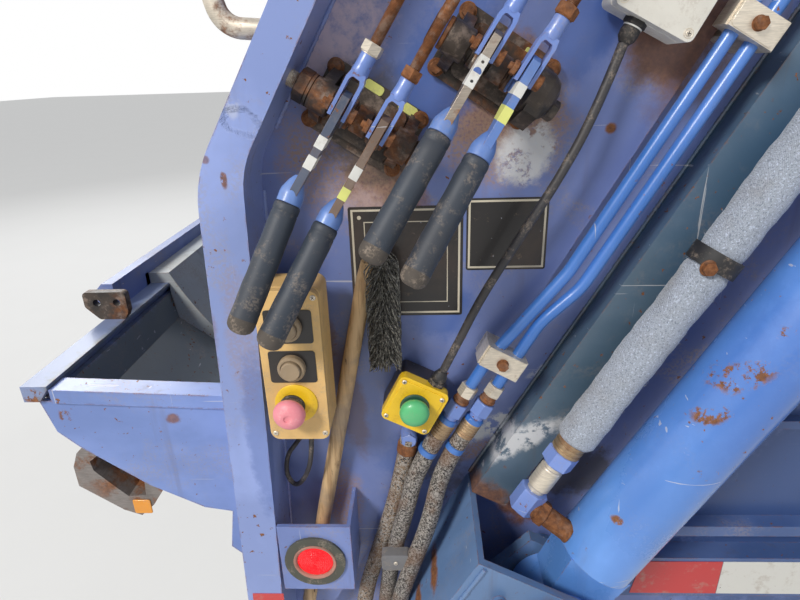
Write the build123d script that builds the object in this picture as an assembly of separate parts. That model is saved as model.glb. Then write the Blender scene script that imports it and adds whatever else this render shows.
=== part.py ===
from build123d import *
from math import cos, hypot, pi, radians, sin, tan
import os

# Tailgate of a rear-loading refuse truck: hopper, packing carriage, sweep panel and the
# controls on its right wall. Millimetres, X forward, Y to the left, Z up. It is drawn with
# Y = 0 on the right wall's outer face and Z = 0 on the ground, and every piece is moved by
# the same step at the end, so that the centre of the right hinge bore is the origin.

# Body and walls
WIDTH = 2200.0
BOTTOM = 640.0
TOP = 3170.0
CROWN_Z = 3000.0
CROWN_RUN = 180.0
WALL_INNER = 60.0
WALL_SKIN = 35.0
WALL_BACK = 10.0
SHEET = 8.0
CUT = 1.0
SEAM_FOOT_X = 1130.0
SEAM_TOP_X = 1850.0

# Rear posts
POST_LEAN = 59.1
POST_BEND_X = 6.7
POST_BEND_Z = 1444.5
POST_BEND_RADIUS = 160.0
POST_FOOT_X = -25.0
POST_WIDTH = 54.0
POST_TOP_WIDTH = 42.0
POST_DEPTH = 80.0

# Packing line: the slope that carriage, track, tubes and packing cylinder share, with s
# along it from the cylinder's base pin and n behind it
PACK_ANGLE = 60.95
PACK_PIN_X = 450.0
PACK_PIN_Z = 790.0
PACK_STROKE = 800.0
# Barrel's length, and how far the rod's eye stands beyond its end at rest
BARREL_LENGTH = 1215.0
EYE_STAND_OUT = 115.0
PACK_EYE_S = BARREL_LENGTH + EYE_STAND_OUT
BEND_N = 262.0
TRACK_N = 150.0
TRACK_WIDTH = 60.0
TRACK_GROOVE = 44.0
TRACK_OUT = 10.0
TRACK_END = 20.0
TRACK_FROM_S = 77.5
TRACK_TO_S = 2240.0
SLOT_GAP = 10.0

# Clearances
RUNNING_GAP = 0.1
PISTON_GAP = 0.25
TRUNNION_GAP = 0.05
SHOE_GAP = 1.5
SIDE_GAP = 10.0

# Carriage: side plates, shoes, panel with its ribs, beam and lugs
CARRIAGE_N = 371.0
CARRIAGE_TOP_S = 1506.0
CARRIAGE_PLATE = 22.0
PIVOT_S = 606.0
SHOES = ((650.0, 850.0), (1180.0, 1380.0))
SHOE_OUT_Y = 4.0
EYE_OUT_Y = -112.0
TRUNNION_RADIUS = 35.0
PANEL_FROM = 110.0
PANEL_FRONT = 56.0
PANEL_BACK = 20.0
TUBE_BEAM = 52.0
RIB_COUNT = 5
RIB_BACK = 30.0
RIB_THICK = 12.0
RIB_TAPER = 40.0
LUG_OUT = 42.0
LUG_THICK = 18.0
ANCHOR_ALONG = 850.0
ANCHOR_BACK = 110.0
ANCHOR_PIN = 20.0
EYE_PLATE = 90.0
EYE_FRONT = 60.0
EYE_BACK = 220.0

# Packing cylinder
BARREL_RADIUS = 58.0
BARREL_BORE = 48.0
BARREL_FOOT = 112.0
BARREL_EYE = 56.0
BARREL_Y = -72.0
ROD_RADIUS = 30.0
ROD_EYE = 62.0
PISTON_REST = 150.0
PISTON_LENGTH = 50.0
GLAND_LENGTH = 60.0
GLAND_COLLAR = 7.0
BARREL_END = 26.0
BASE_PIN_RADIUS = 28.0

# Bracket at the packing cylinder's base
FOOT_TOP_S = 76.0
FOOT_LOW_S = -132.0
FOOT_CORNER_S = -86.0
FOOT_FRONT_N = -62.0
FOOT_N = 182.0
CHEEK_OUT = 62.0
CHEEK_THICK = 12.0
# Pins through the outer cheek: s, n, radius, how far they stand out
FOOT_PINS = [(36.0, 51.0, 29.0, 14.0), (31.5, 124.0, 9.0, 8.0)]

# Sweep panel and its cylinders, angles from +X in the side view
SWEEP_RADIUS = 775.0
SWEEP_REST = 315.0
SWEEP_BOW = 430.0
SWEEP_CLEARANCE = 15.0
SWEEP_TUBE = 76.0
SWEEP_SIDE_GAP = 6.0
SWEEP_PIN_RADIUS = 40.0
ARM_RADIUS = 260.0
ARM_BACK = 104.0
ARM_CAP = 30.0
ARM_OUT = 42.0
ARM_THICK = 18.0
CYLINDER_YS = (650.0, 1550.0)
SWEEP_BARREL = 620.0
SWEEP_BARREL_RADIUS = 46.0
SWEEP_BORE = 36.0
SWEEP_ROD_RADIUS = 22.0
SWEEP_NECK = 76.0
SWEEP_EYE_HALF = 22.0
SWEEP_BASE_EYE = 38.0
SWEEP_ROD_EYE = 40.0

# Hopper floor, trough and loading edge
FLOOR_FRONT_ANGLE = 315.0
FLOOR_REAR_ANGLE = 228.0
FLOOR_THICK = 10.0
RAMP_RISE = 150.0
# The lip's place behind the posts follows the sweep panel's reach
LIP_SETBACK = 475.0
LIP_X = LIP_SETBACK - SWEEP_RADIUS
LIP_TOP_Z = 1110.0
LIP_THICK = 12.0
TROUGH_KNEE = (LIP_X + 12.0, 1052.0)
TROUGH_REAR_X = LIP_X - 36.0
TROUGH_RIM_Z = 1135.0
RIM_DEPTH = 26.0
RIM_OVER = 6.0
SIDE_TOP_Z = 1092.0
SIDE_LOW_Z = 806.0
# Lower edge of the trough's side plate, from its rim to the tab's foot, as (x, z)
TROUGH_SIDE_EDGE = [(LIP_X - 18.0, 1108.0), (LIP_X - 4.0, 1052.0), (LIP_X + 24.0, 1024.0),
                    (-180.0, 950.0), (-98.0, 905.0), (-54.0, 897.0), (-66.0, 822.0), (-44.0, 800.0)]
SILL_SIDE = 430.0
SILL_TOP_Z = 1158.0
BUMPER_SIDE = 285.0
BUMPER_LOW_Z = 1112.0
BUMPER_TOP_Z = 1187.0
BUMPER_OUT = 36.0
BUMPER_EDGE = 14.0

# Container latch: corners of its rim and pocket, along the trough's slope and below it
LATCH_OUTLINE = [(36.0, 0.0), (30.0, 40.0), (37.0, 68.0), (60.0, 99.0), (143.0, 99.0),
                 (172.0, 91.0), (178.0, 58.0), (175.0, 0.0)]
LATCH_POCKET = [(54.0, 42.0), (61.0, 16.0), (139.0, 17.0), (158.0, 48.0), (136.0, 68.0),
                (107.0, 63.0), (67.0, 55.0)]
LATCH_Y = 20.0
LATCH_DEPTH = 56.0
LATCH_BACK = 12.0
EAR_Y = 236.0
EAR_THICK = 16.0
EAR_TOP_Z = 1189.0
EAR_HOLE_Z = 1168.0
EAR_HOLE = 7.0

# Hood, front seam, hinge and lock
HOOD_THICK = 45.0
HOOD_LOW_Z = 2620.0
HOOD_BACK = 12.0
HOOD_RUN = 170.0
HOOD_BEND = 90.0
HOOD_INNER_BEND = 60.0
SEAM_DEPTH = 90.0
SEAM_BAR = 28.0
SEAM_SILL = 120.0
SEAM_HEAD = 110.0
HINGE_X = 1930.0
HINGE_Y = 300.0
HINGE_Z = 3100.0
HINGE_LENGTH = 120.0
HINGE_BORE = 30.0
HINGE_BOSS = 55.0
HINGE_WEB = 50.0
HINGE_REACH = 62.0
LOCK_Z = 720.0
LOCK_THICK = 50.0
LOCK_BORE = 20.0
LOCK_OUT = 34.0
# Ledges low on the wall: height of the top edge, depth, how far they stand out
LEDGES = [(1106.0, 18.0, 22.0), (1051.0, 14.0, 16.0), (858.0, 20.0, 26.0)]
LEDGE_FROM = 120.0
PAD_FROM_X = 560.0
PAD_LOW_Z = 716.0
PAD_TOP_Z = 800.0

# Control levers: the frame of each is along the rods, outward, and along the shaft
LEVER_ANGLE = 57.5
LEVER_PITCH = 45.5
PAIR_GAP = 7.5
LEVER_STEP = 124.0
FIRST_PIVOT_X = 174.6
FIRST_PIVOT_Z = 1510.1
PIVOT_Y = -45.0
SHAFT_RADIUS = 11.0
SHAFT_OVER = 6.0
LEVER_PLATE = 9.0
LEVER_HUB = 18.0
LINK_PIN = 5.0
NECK_OUT = 78.0
GRIP_RADIUS = 14.0
GRIP_REACH = 138.0
GRIP_OUT = 128.0
# Of each lever: bar from the pivot to the grip, and sideways set of the grip's end
LEVER_BARS = [(100.0, 20.0), (100.0, 8.0), (84.0, 0.0), (84.0, 3.0)]

# Link rods: yoke, neck, lock nut and thread, along the rod from the pivot's height
LINK_ALONG = 5.0
LINK_OUT = 50.0
LINK_RADIUS = 6.0
YOKE_ARM = 4.0
YOKE_WIDTH = 16.0
YOKE_GAP = 1.5
YOKE_TOP = 46.0
YOKE_NECK = 8.0
NUT_FROM = 66.0
NUT_HEIGHT = 11.0
NUT_FLATS = 19.0
THREAD_TO = 128.0
THREAD_DEPTH = 0.6
CLEVIS_LENGTH = 16.0
CLEVIS_WIDTH = 20.0

# Lever brackets and valve bank
EAR_ASIDE = 28.0
BRACKET_EAR = 12.0
BRACKET_BASE = 8.0
SHAFT_NUT = 30.0
SHAFT_NUT_HEIGHT = 8.0
SHAFT_NUT_ASIDE = 46.0
VALVE_U = 850.0
VALVE_LENGTH = 150.0
VALVE_OUT = 82.0
SPOOL_RADIUS = 9.0
SPOOL_LENGTH = 40.0
SPOOL_CAP = 19.0
CAP_LENGTH = 55.0

# Button station, start box and junction box
STATION_LOW_X = 60.0
STATION_HIGH_X = 137.0
STATION_LOW_Z = 1110.0
STATION_TOP_Z = 1317.0
STATION_Y = -100.0
STATION_DEPTH = 62.0
BUTTON_X = 98.0
BUTTON_ZS = (1271.0, 1217.0)
STOP_X = 93.0
STOP_Z = 1162.0
STOP_STEM = 19.0
START_STEM = 12.0
MUSHROOM = 20.0
START_X = 246.0
START_Y = -56.0
START_Z = 1130.0
START_HALF = 36.0
START_DEPTH = 50.0
BOX_TILT = -27.0
BOX_EDGE = 9.0
JUNCTION_X = 521.0
JUNCTION_Z = 1637.0
JUNCTION_Y = -12.0
JUNCTION_WIDTH = 92.0
JUNCTION_HEIGHT = 114.0
JUNCTION_DEPTH = 50.0
JUNCTION_EDGE = 6.0

# Tail lamp on its bracket
LAMP_X = 94.7
LAMP_Z = 882.0
LAMP_RADIUS = 32.0
LAMP_FACE_Y = -90.0
LAMP_DEPTH = 28.0
BRACKET_LOW_X = 43.0
BRACKET_HIGH_X = 150.0
BRACKET_LOW_Z = 824.0
BRACKET_TOP_Z = 946.0
BRACKET_FACE_Y = -84.0
BRACKET_SHEET = 6.0
GROMMET_GROOVE = 8.0
GROMMET_RIM = 13.0

# Broom and hand rail
BROOM_FOOT = (57.0, -11.8, 715.0)
BROOM_TOP = (190.0, -24.0, 1326.0)
BROOM_RADIUS = 11.5
HEAD_LOW_X = 186.0
HEAD_HIGH_X = 230.0
HEAD_LOW_Z = 1178.0
HEAD_TOP_Z = 1345.0
HEAD_OUT = 52.0
BRISTLE_GAP = 0.2
RAIL_LOW_Z = 1594.0
RAIL_HIGH_Z = 1870.0
RAIL_RADIUS = 11.0
RAIL_Y = -40.0

# Steel tubes: n above the bends, s of the upper bend, s of the lower bend, n below it,
# s of the end
TUBE_ROUTES = [(259.0, 450.0, 295.0, 284.0, 250.0), (233.0, 440.0, 375.0, 252.5, 268.0)]
TUBE_BEND = 90.0
TUBE_TOP_S = 2150.0
TUBE_Y = -30.0
TUBE_RADIUS = 8.0
# Clamps on the tubes: s and n of each clamp's centre
CLAMPS = [(306.0, 269.0), (771.0, 246.0), (1300.0, 246.0), (1800.0, 246.0)]
CLAMP_LENGTH = 30.0
CLAMP_HALF = 30.0
CLAMP_OUT = 14.0
CLAMP_PLATE = 4.0
# Stages of a tube's end fitting, down from its end: from, to, radius, whether hexagonal
FITTING_STEPS = [(0.0, 18.0, 11.0, True), (18.0, 30.0, 10.0, False), (30.0, 52.0, 12.5, True),
                 (52.0, 58.0, 10.5, False), (58.0, 92.0, 13.5, False)]

# Large hose in its sleeve
SLEEVE_N = 120.0
SLEEVE_Y = -45.0
SLEEVE_RADIUS = 28.0
SLEEVE_LOW_S = 250.0
SLEEVE_TOP_S = 1180.0
# Stages of its adapters, from its end: from, to, radius, whether hexagonal
SLEEVE_STEPS = [(0.2, 22.0, 21.0, False), (22.0, 46.0, 20.0, True), (46.0, 54.0, 14.0, False),
                (54.0, 92.0, 16.5, False), (92.0, 98.0, 13.0, False), (98.0, 138.0, 19.0, True)]
PORT_INSET = 14.0
PORT_RADIUS = 15.0
BOSS_RADIUS = 18.0
STRAP_S = 548.0
STRAP_HALF = 11.0
STRAP_THICK = 3.0

# Cables
CABLE_RADIUS = 5.5
CABLE_Y = -40.0
CABLE_POINTS = [(475.4, CABLE_Y, 1569.2), (452.0, -45.0, 1500.0), (414.0, -50.0, 1425.0),
                (368.0, -49.0, 1348.0), (330.0, -45.0, 1278.0), (306.0, -42.0, 1222.0),
                (285.0, CABLE_Y, 1175.8)]
# Down from the station's floor, round in a loop and into the wall
LAMP_CABLE_RADIUS = 3.5
LAMP_CABLE = [(104.0, -62.0, 1109.6), (101.0, -58.0, 1055.0), (84.0, -40.0, 1000.0),
              (62.0, -26.0, 968.0), (48.0, -22.0, 990.0), (54.0, -20.0, 1025.0),
              (66.0, -20.0, 1040.0), (72.0, -1.2, 1042.0)]

# Feed hoses and the bulkhead that carries their lower ends
HOSE_RADIUS = 13.0
HOSE_END_Z = 676.0
HOSE_FIRST_RUN = 64.0
# Points of each hose below the first run, which follows the fitting above it
HOSE_ROUTES = [
    [(228.0, -34.0, 926.0), (208.0, -30.0, 850.0), (192.0, -27.0, 748.0),
     (186.0, -26.0, HOSE_END_Z)],
    [(264.0, -48.0, 918.0), (236.0, -57.0, 845.0), (208.0, -58.0, 748.0),
     (200.0, -58.0, HOSE_END_Z)],
    [(205.0, -20.0, 910.0), (178.0, -24.0, 825.0), (155.0, -28.0, 745.0),
     (148.0, -28.0, HOSE_END_Z)],
]
BRANCH_TOP = [(236.0, -16.0, 1052.0), (224.0, -16.0, 985.0)]
BRANCH_BOSS = 12.0
BULKHEAD_Z = 652.0
BULKHEAD_SHEET = 6.0
BULKHEAD_FROM_X = 124.0
BULKHEAD_TO_X = 226.0
BULKHEAD_OUT = 80.0
BULKHEAD_RISE = 40.0
STUB_RADIUS = 11.0
STUB_NUT = 14.5

ORIGIN = (HINGE_X, HINGE_Y, HINGE_Z)

os.makedirs("parts", exist_ok=True)
pieces = {}


def pack_point(s, n, y=0.0):
    """Point at s along the packing line and n behind it."""
    c, k = cos(radians(PACK_ANGLE)), sin(radians(PACK_ANGLE))
    return (PACK_PIN_X + s * c - n * k, y, PACK_PIN_Z + s * k + n * c)


def plate(points, y_low, y_high):
    """Solid between two upright planes, from an outline of (x, z) points."""
    outline = make_face(Polyline(*[(x, y_high, z) for x, z in points], close=True))
    return extrude(outline, amount=y_high - y_low, dir=(0, -1, 0))


def pack_plate(points, y_low, y_high):
    """Plate whose outline is given as (s, n) on the packing line."""
    placed = [pack_point(s, n) for s, n in points]
    return plate([(x, z) for x, _, z in placed], y_low, y_high)


def pack_bar(s_low, s_high, n_low, n_high, y_low, y_high):
    """Bar set square on the packing line."""
    return pack_plate([(s_low, n_low), (s_high, n_low), (s_high, n_high), (s_low, n_high)],
                      y_low, y_high)


def round_bar(start, end, radius):
    """Round bar between two points."""
    start, end = Vector(*start), Vector(*end)
    section = Plane(origin=start, z_dir=end - start) * Circle(radius)
    return extrude(section, amount=(end - start).length)


def block(x_low, x_high, y_low, y_high, z_low, z_high):
    """Upright block between limits along X, Y and Z."""
    size = (x_high - x_low, y_high - y_low, z_high - z_low)
    centre = ((x_low + x_high) / 2, (y_low + y_high) / 2, (z_low + z_high) / 2)
    return Pos(*centre) * Box(*size)


def to_left(solid):
    """The same piece on the left side of the tailgate."""
    return mirror(solid, about=Plane.XZ).moved(Location((0, WIDTH, 0)))


def both_sides(solid):
    """The piece and its twin on the left side, as one node."""
    return Compound([solid, to_left(solid)])


def post_line(z, offset=0.0):
    """X of the post's outer edge at a height above its bend."""
    return POST_BEND_X + (z - POST_BEND_Z) / tan(radians(POST_LEAN)) + offset


def seam_x(z):
    """X of the front seam at a height."""
    return SEAM_FOOT_X + (z - BOTTOM) * (SEAM_TOP_X - SEAM_FOOT_X) / (TOP - BOTTOM)


def wall_outline(back=0.0):
    """Side view of a wall, its rear edge moved forward by back."""
    return [(POST_FOOT_X + back, BOTTOM), (POST_BEND_X + back, POST_BEND_Z),
            (post_line(CROWN_Z, back), CROWN_Z), (post_line(CROWN_Z, back) + CROWN_RUN, TOP),
            (SEAM_TOP_X, TOP), (SEAM_FOOT_X, BOTTOM)]


def side_wall():
    """Wall: full inner sheet, a raised pad behind the bend, slots for track and trunnion."""
    inner = plate(wall_outline(WALL_BACK), WALL_SKIN, WALL_INNER)
    pad_region = pack_bar(-TOP, 2 * TOP, BEND_N, TOP, 0.0, WALL_SKIN)
    pad = plate(wall_outline(WALL_BACK), 0.0, WALL_SKIN) & pad_region
    wall = inner + pad
    half = TRACK_GROOVE / 2
    groove = pack_bar(TRACK_FROM_S + TRACK_END, TRACK_TO_S - TRACK_END, TRACK_N - half,
                      TRACK_N + half, WALL_SKIN - CUT, WALL_INNER + CUT)
    slot_half = TRUNNION_RADIUS + SLOT_GAP
    slot = pack_bar(PACK_EYE_S - slot_half, PACK_EYE_S + PACK_STROKE + slot_half,
                    -slot_half, slot_half, -CUT, WALL_INNER + CUT)
    return wall - groove - slot


def carriage_track():
    """Pressed channel outside the wall in which the carriage's shoes run."""
    half = TRACK_WIDTH / 2
    groove_half = TRACK_GROOVE / 2
    shell = pack_bar(TRACK_FROM_S, TRACK_TO_S, TRACK_N - half, TRACK_N + half, -TRACK_OUT,
                     WALL_SKIN)
    groove = pack_bar(TRACK_FROM_S + TRACK_END, TRACK_TO_S - TRACK_END, TRACK_N - groove_half,
                      TRACK_N + groove_half, 0.0, WALL_SKIN + CUT)
    return shell - groove


def post_path(offset, top_offset):
    """Bent line of the post: its outer edge moved in by an offset below and above the bend."""
    lean = radians(POST_LEAN)
    shift = top_offset / sin(lean)
    foot_slope = (POST_BEND_X - POST_FOOT_X) / (POST_BEND_Z - BOTTOM)
    rise = (offset - shift) / (1 / tan(lean) - foot_slope)
    foot = (POST_FOOT_X + offset, 0, BOTTOM)
    bend = (POST_BEND_X + shift + rise / tan(lean), 0, POST_BEND_Z + rise)
    top = (post_line(CROWN_Z, shift), 0, CROWN_Z)
    return foot, bend, top


def rear_post():
    """Bent channel that frames the hopper opening, with rounded edges."""
    outer = FilletPolyline(*post_path(0.0, 0.0), radius=POST_BEND_RADIUS)
    inner = FilletPolyline(*post_path(POST_WIDTH, POST_TOP_WIDTH),
                           radius=POST_BEND_RADIUS - POST_WIDTH)
    caps = [Line(outer @ 0, inner @ 0), Line(outer @ 1, inner @ 1)]
    face = make_face([*outer.edges(), *inner.edges(), *caps])
    return extrude(face, amount=POST_DEPTH, dir=(0, -1, 0))


def arc_strip(centre, radius, thick, start, end, y_low, y_high):
    """Part of a ring in the side view, between two angles."""
    cx, cz = centre
    def at(r, a):
        return (cx + r * cos(radians(a)), y_high, cz + r * sin(radians(a)))
    mid = (start + end) / 2
    inner = ThreePointArc(at(radius, start), at(radius, mid), at(radius, end))
    outer = ThreePointArc(at(radius + thick, start), at(radius + thick, mid),
                          at(radius + thick, end))
    caps = [Line(inner @ 0, outer @ 0), Line(inner @ 1, outer @ 1)]
    face = make_face([inner, outer, *caps])
    return extrude(face, amount=y_high - y_low, dir=(0, -1, 0))


def pivot_xz():
    """Centre of the sweep panel's pivot at rest, as (x, z)."""
    x, _, z = pack_point(PIVOT_S, CARRIAGE_N)
    return x, z


def hopper_floor():
    """Curved floor that the sweep panel wipes, and its straight run to the front seam."""
    radius = SWEEP_RADIUS + SWEEP_CLEARANCE
    low, high = WALL_INNER, WIDTH - WALL_INNER
    curve = arc_strip(pivot_xz(), radius, FLOOR_THICK, FLOOR_REAR_ANGLE, FLOOR_FRONT_ANGLE,
                      low, high)
    px, pz = pivot_xz()
    a = radians(FLOOR_FRONT_ANGLE)
    fx, fz = px + radius * cos(a), pz + radius * sin(a)
    gx, gz = px + (radius + FLOOR_THICK) * cos(a), pz + (radius + FLOOR_THICK) * sin(a)
    rise = RAMP_RISE
    ramp = plate([(fx, fz), (fx + rise, fz + rise), (gx + rise, gz + rise), (gx, gz)], low, high)
    return curve + ramp


def trough_section():
    """Side view of the loading trough's floor behind the posts, as (x, z)."""
    join = floor_join()
    a = radians(FLOOR_REAR_ANGLE)
    under = (join[0] + FLOOR_THICK * cos(a), join[1] + FLOOR_THICK * sin(a))
    knee_x, knee_z = TROUGH_KNEE
    return [join, TROUGH_KNEE, (LIP_X, LIP_TOP_Z), (LIP_X - LIP_THICK, LIP_TOP_Z),
            (knee_x - LIP_THICK, knee_z - LIP_THICK / 2), under]


def rear_trough():
    """Sloping floor, short rear wall and boxed loading edge of the trough."""
    floor = plate(trough_section(), SHEET, WIDTH - SHEET)
    rail = plate([(TROUGH_REAR_X, TROUGH_RIM_Z - RIM_DEPTH),
                  (LIP_X - LIP_THICK, TROUGH_RIM_Z - RIM_DEPTH),
                  (LIP_X + 4, TROUGH_RIM_Z - 5), (LIP_X + 4, TROUGH_RIM_Z),
                  (TROUGH_REAR_X, TROUGH_RIM_Z)], -RIM_OVER, WIDTH + RIM_OVER)
    return floor + rail


def post_foot(z):
    """X of the post's outer edge at a height below its bend."""
    rise = (z - BOTTOM) / (POST_BEND_Z - BOTTOM)
    return POST_FOOT_X + rise * (POST_BEND_X - POST_FOOT_X)


def trough_side():
    """Side plate of the trough, with its folded rim and the tab below it at the post."""
    outline = [(post_foot(SIDE_TOP_Z), SIDE_TOP_Z), *TROUGH_SIDE_EDGE,
               (post_foot(SIDE_LOW_Z), SIDE_LOW_Z)]
    side = plate(outline, 0.0, SHEET)
    fold = 23.0
    rim = plate([(LIP_X + 5, TROUGH_RIM_Z - 6 - fold), (LIP_X + 5, TROUGH_RIM_Z - 6),
                 (post_foot(SIDE_TOP_Z + fold), SIDE_TOP_Z + fold),
                 (post_foot(SIDE_TOP_Z), SIDE_TOP_Z)], -5.0, 32.0)
    return side + rim


def floor_join():
    """Point (x, z) where the trough's sloping floor meets the curved one."""
    px, pz = pivot_xz()
    a = radians(FLOOR_REAR_ANGLE)
    radius = SWEEP_RADIUS + SWEEP_CLEARANCE
    return px + radius * cos(a), pz + radius * sin(a)


def raised_sill():
    """Thick middle of the loading edge, hollowed to the sweep panel's circle."""
    low, high = SILL_SIDE, WIDTH - SILL_SIDE
    px, pz = pivot_xz()
    jx, jz = floor_join()
    wedge = plate([(LIP_X + 4, SILL_TOP_Z), (LIP_X + 4, LIP_TOP_Z - 2), TROUGH_KNEE,
                   (jx, jz), (jx + 60, jz), (LIP_X + 70, SILL_TOP_Z)], low, high)
    circle = round_bar((px, low - 1, pz), (px, high + 1, pz), SWEEP_RADIUS + SWEEP_CLEARANCE)
    cap = plate([(TROUGH_REAR_X, TROUGH_RIM_Z), (LIP_X + 4, TROUGH_RIM_Z),
                 (LIP_X + 4, SILL_TOP_Z), (TROUGH_REAR_X, SILL_TOP_Z)], low, high)
    return wedge - circle + cap


def sill_bumper():
    """Bar along the outside of the loading edge that a container's rim rests on."""
    x = TROUGH_REAR_X
    out, edge = x - BUMPER_OUT, BUMPER_EDGE
    section = [(x, BUMPER_LOW_Z), (x, BUMPER_TOP_Z), (out + edge, BUMPER_TOP_Z),
               (out, BUMPER_TOP_Z - edge), (out, BUMPER_LOW_Z + edge), (out + edge, BUMPER_LOW_Z)]
    return plate(section, BUMPER_SIDE, WIDTH - BUMPER_SIDE)


def hood():
    """Folded cover that closes the tailgate above the opening, between the walls."""
    thick = HOOD_THICK
    low_z = HOOD_LOW_Z
    crown_x = post_line(CROWN_Z, HOOD_BACK)
    outer = FilletPolyline((post_line(low_z, HOOD_BACK), 0, low_z), (crown_x, 0, CROWN_Z),
                           (crown_x + HOOD_RUN, 0, TOP), (SEAM_TOP_X - SEAM_DEPTH, 0, TOP),
                           radius=HOOD_BEND)
    lift = thick / sin(radians(POST_LEAN))
    inner = FilletPolyline((post_line(low_z, HOOD_BACK) + lift, 0, low_z),
                           (crown_x + lift - 14.0, 0, CROWN_Z - thick),
                           (crown_x + HOOD_RUN + 10.0, 0, TOP - thick),
                           (seam_x(TOP - thick) - SEAM_DEPTH, 0, TOP - thick),
                           radius=HOOD_INNER_BEND)
    caps = [Line(outer @ 0, inner @ 0), Line(outer @ 1, inner @ 1)]
    face = make_face([*outer.edges(), *inner.edges(), *caps])
    cover = extrude(face, amount=WIDTH - 2 * WALL_INNER, dir=(0, -1, 0))
    return cover.moved(Location((0, WIDTH - WALL_INNER, 0)))


def seam_frame():
    """Box frame along the front seam that closes against the body."""
    low, high = WALL_INNER, WIDTH - WALL_INNER
    depth = SEAM_DEPTH
    bar = SEAM_BAR
    sill_z = BOTTOM + SEAM_SILL
    head_z = TOP - SEAM_HEAD
    def upright(y_low, y_high):
        return plate([(seam_x(BOTTOM) - depth, BOTTOM), (seam_x(BOTTOM), BOTTOM),
                      (seam_x(TOP), TOP), (seam_x(TOP) - depth, TOP)], y_low, y_high)
    sill = plate([(seam_x(BOTTOM) - depth, BOTTOM), (seam_x(BOTTOM), BOTTOM),
                  (seam_x(sill_z), sill_z), (seam_x(sill_z) - depth, sill_z)],
                 low + bar, high - bar)
    head = plate([(seam_x(head_z) - depth, head_z), (seam_x(head_z), head_z),
                  (seam_x(TOP), TOP), (seam_x(TOP) - depth, TOP)], low + bar, high - bar)
    return upright(low, low + bar) + upright(high - bar, high) + sill + head


def hinge_ear():
    """Hinge lug with its boss, ahead of the roof."""
    reach = HINGE_REACH
    back_x = SEAM_TOP_X - SEAM_DEPTH + 30.0
    outline = FilletPolyline((back_x, 0, TOP - 100), (SEAM_TOP_X + 2, 0, TOP - 100),
                             (HINGE_X + reach, 0, HINGE_Z - reach),
                             (HINGE_X + reach, 0, HINGE_Z + reach),
                             (back_x, 0, TOP + 34), radius=30.0, close=True)
    half = HINGE_LENGTH / 2
    web = extrude(make_face(outline), amount=HINGE_WEB, dir=(0, -1, 0)).moved(
        Location((0, HINGE_Y + HINGE_WEB / 2, 0)))
    boss = round_bar((HINGE_X, HINGE_Y - half, HINGE_Z), (HINGE_X, HINGE_Y + half, HINGE_Z),
                     HINGE_BOSS)
    bore = round_bar((HINGE_X, HINGE_Y - half - CUT, HINGE_Z),
                     (HINGE_X, HINGE_Y + half + CUT, HINGE_Z), HINGE_BORE)
    depth = SEAM_DEPTH + CUT
    frame_space = plate([(seam_x(BOTTOM) - depth, BOTTOM), (seam_x(BOTTOM), BOTTOM),
                         (seam_x(TOP), TOP), (seam_x(TOP) - depth, TOP)], 0, WIDTH)
    return web + boss - bore - frame_space


def lower_lock():
    """Lug at the foot of the seam, bored for the locking pin."""
    x = seam_x(LOCK_Z)
    outline = FilletPolyline((x - 70, 0, LOCK_Z - 60), (x + 75, 0, LOCK_Z - 45),
                             (x + 75, 0, LOCK_Z + 45), (x - 40, 0, LOCK_Z + 60),
                             radius=25.0, close=True)
    lug = extrude(make_face(outline), amount=LOCK_THICK, dir=(0, -1, 0)).moved(
        Location((0, WALL_SKIN, 0)))
    bore = round_bar((x + LOCK_OUT, -LOCK_THICK, LOCK_Z), (x + LOCK_OUT, WALL_SKIN + 1, LOCK_Z),
                     LOCK_BORE)
    return lug - bore


def lower_side_rails():
    """Ledges that run forward low on the wall, above and below the reflective band."""
    rails = []
    for z, height, out in LEDGES:
        start = PACK_PIN_X + (z - PACK_PIN_Z) / tan(radians(PACK_ANGLE)) + LEDGE_FROM
        rails.append(plate([(start, z - height), (seam_x(z) - 12, z - height),
                            (seam_x(z) - 8, z), (start + 8, z)], WALL_SKIN - out, WALL_SKIN))
    foot = plate([(PAD_FROM_X, PAD_LOW_Z), (seam_x(PAD_LOW_Z) - 80, PAD_LOW_Z),
                  (seam_x(PAD_TOP_Z) - 80, PAD_TOP_Z), (PAD_FROM_X + 25, PAD_TOP_Z)],
                 0.0, WALL_SKIN)
    return Compound(rails + [foot])


def carriage_side():
    """Side plate of the carriage with its two shoes and the trunnion of the packing rod."""
    low = WALL_INNER + SIDE_GAP
    high = low + CARRIAGE_PLATE
    top_s, n = CARRIAGE_TOP_S, CARRIAGE_N
    outline = [(PIVOT_S - 70, n - 62), (PIVOT_S - 70, n + 62), (PIVOT_S + 30, n + 95),
               (top_s + 20, n + 110), (top_s + 60, n + 60), (top_s + 60, n - 60),
               (PACK_EYE_S + EYE_PLATE, -EYE_FRONT), (PACK_EYE_S - EYE_PLATE, -EYE_FRONT),
               (PACK_EYE_S - EYE_BACK, EYE_PLATE),
               (PIVOT_S + 30, 112)]
    side = pack_plate(outline, low, high)
    side += round_bar(pack_point(PACK_EYE_S, 0, high - 4), pack_point(PACK_EYE_S, 0, EYE_OUT_Y),
                      TRUNNION_RADIUS)
    half = TRACK_GROOVE / 2 - SHOE_GAP
    for s_low, s_high in SHOES:
        side += pack_bar(s_low, s_high, TRACK_N - half, TRACK_N + half, SHOE_OUT_Y, low + 2)
    bore = round_bar(pack_point(PIVOT_S, n, low - 1), pack_point(PIVOT_S, n, high + 1),
                     SWEEP_PIN_RADIUS + RUNNING_GAP)
    return side - bore


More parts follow.
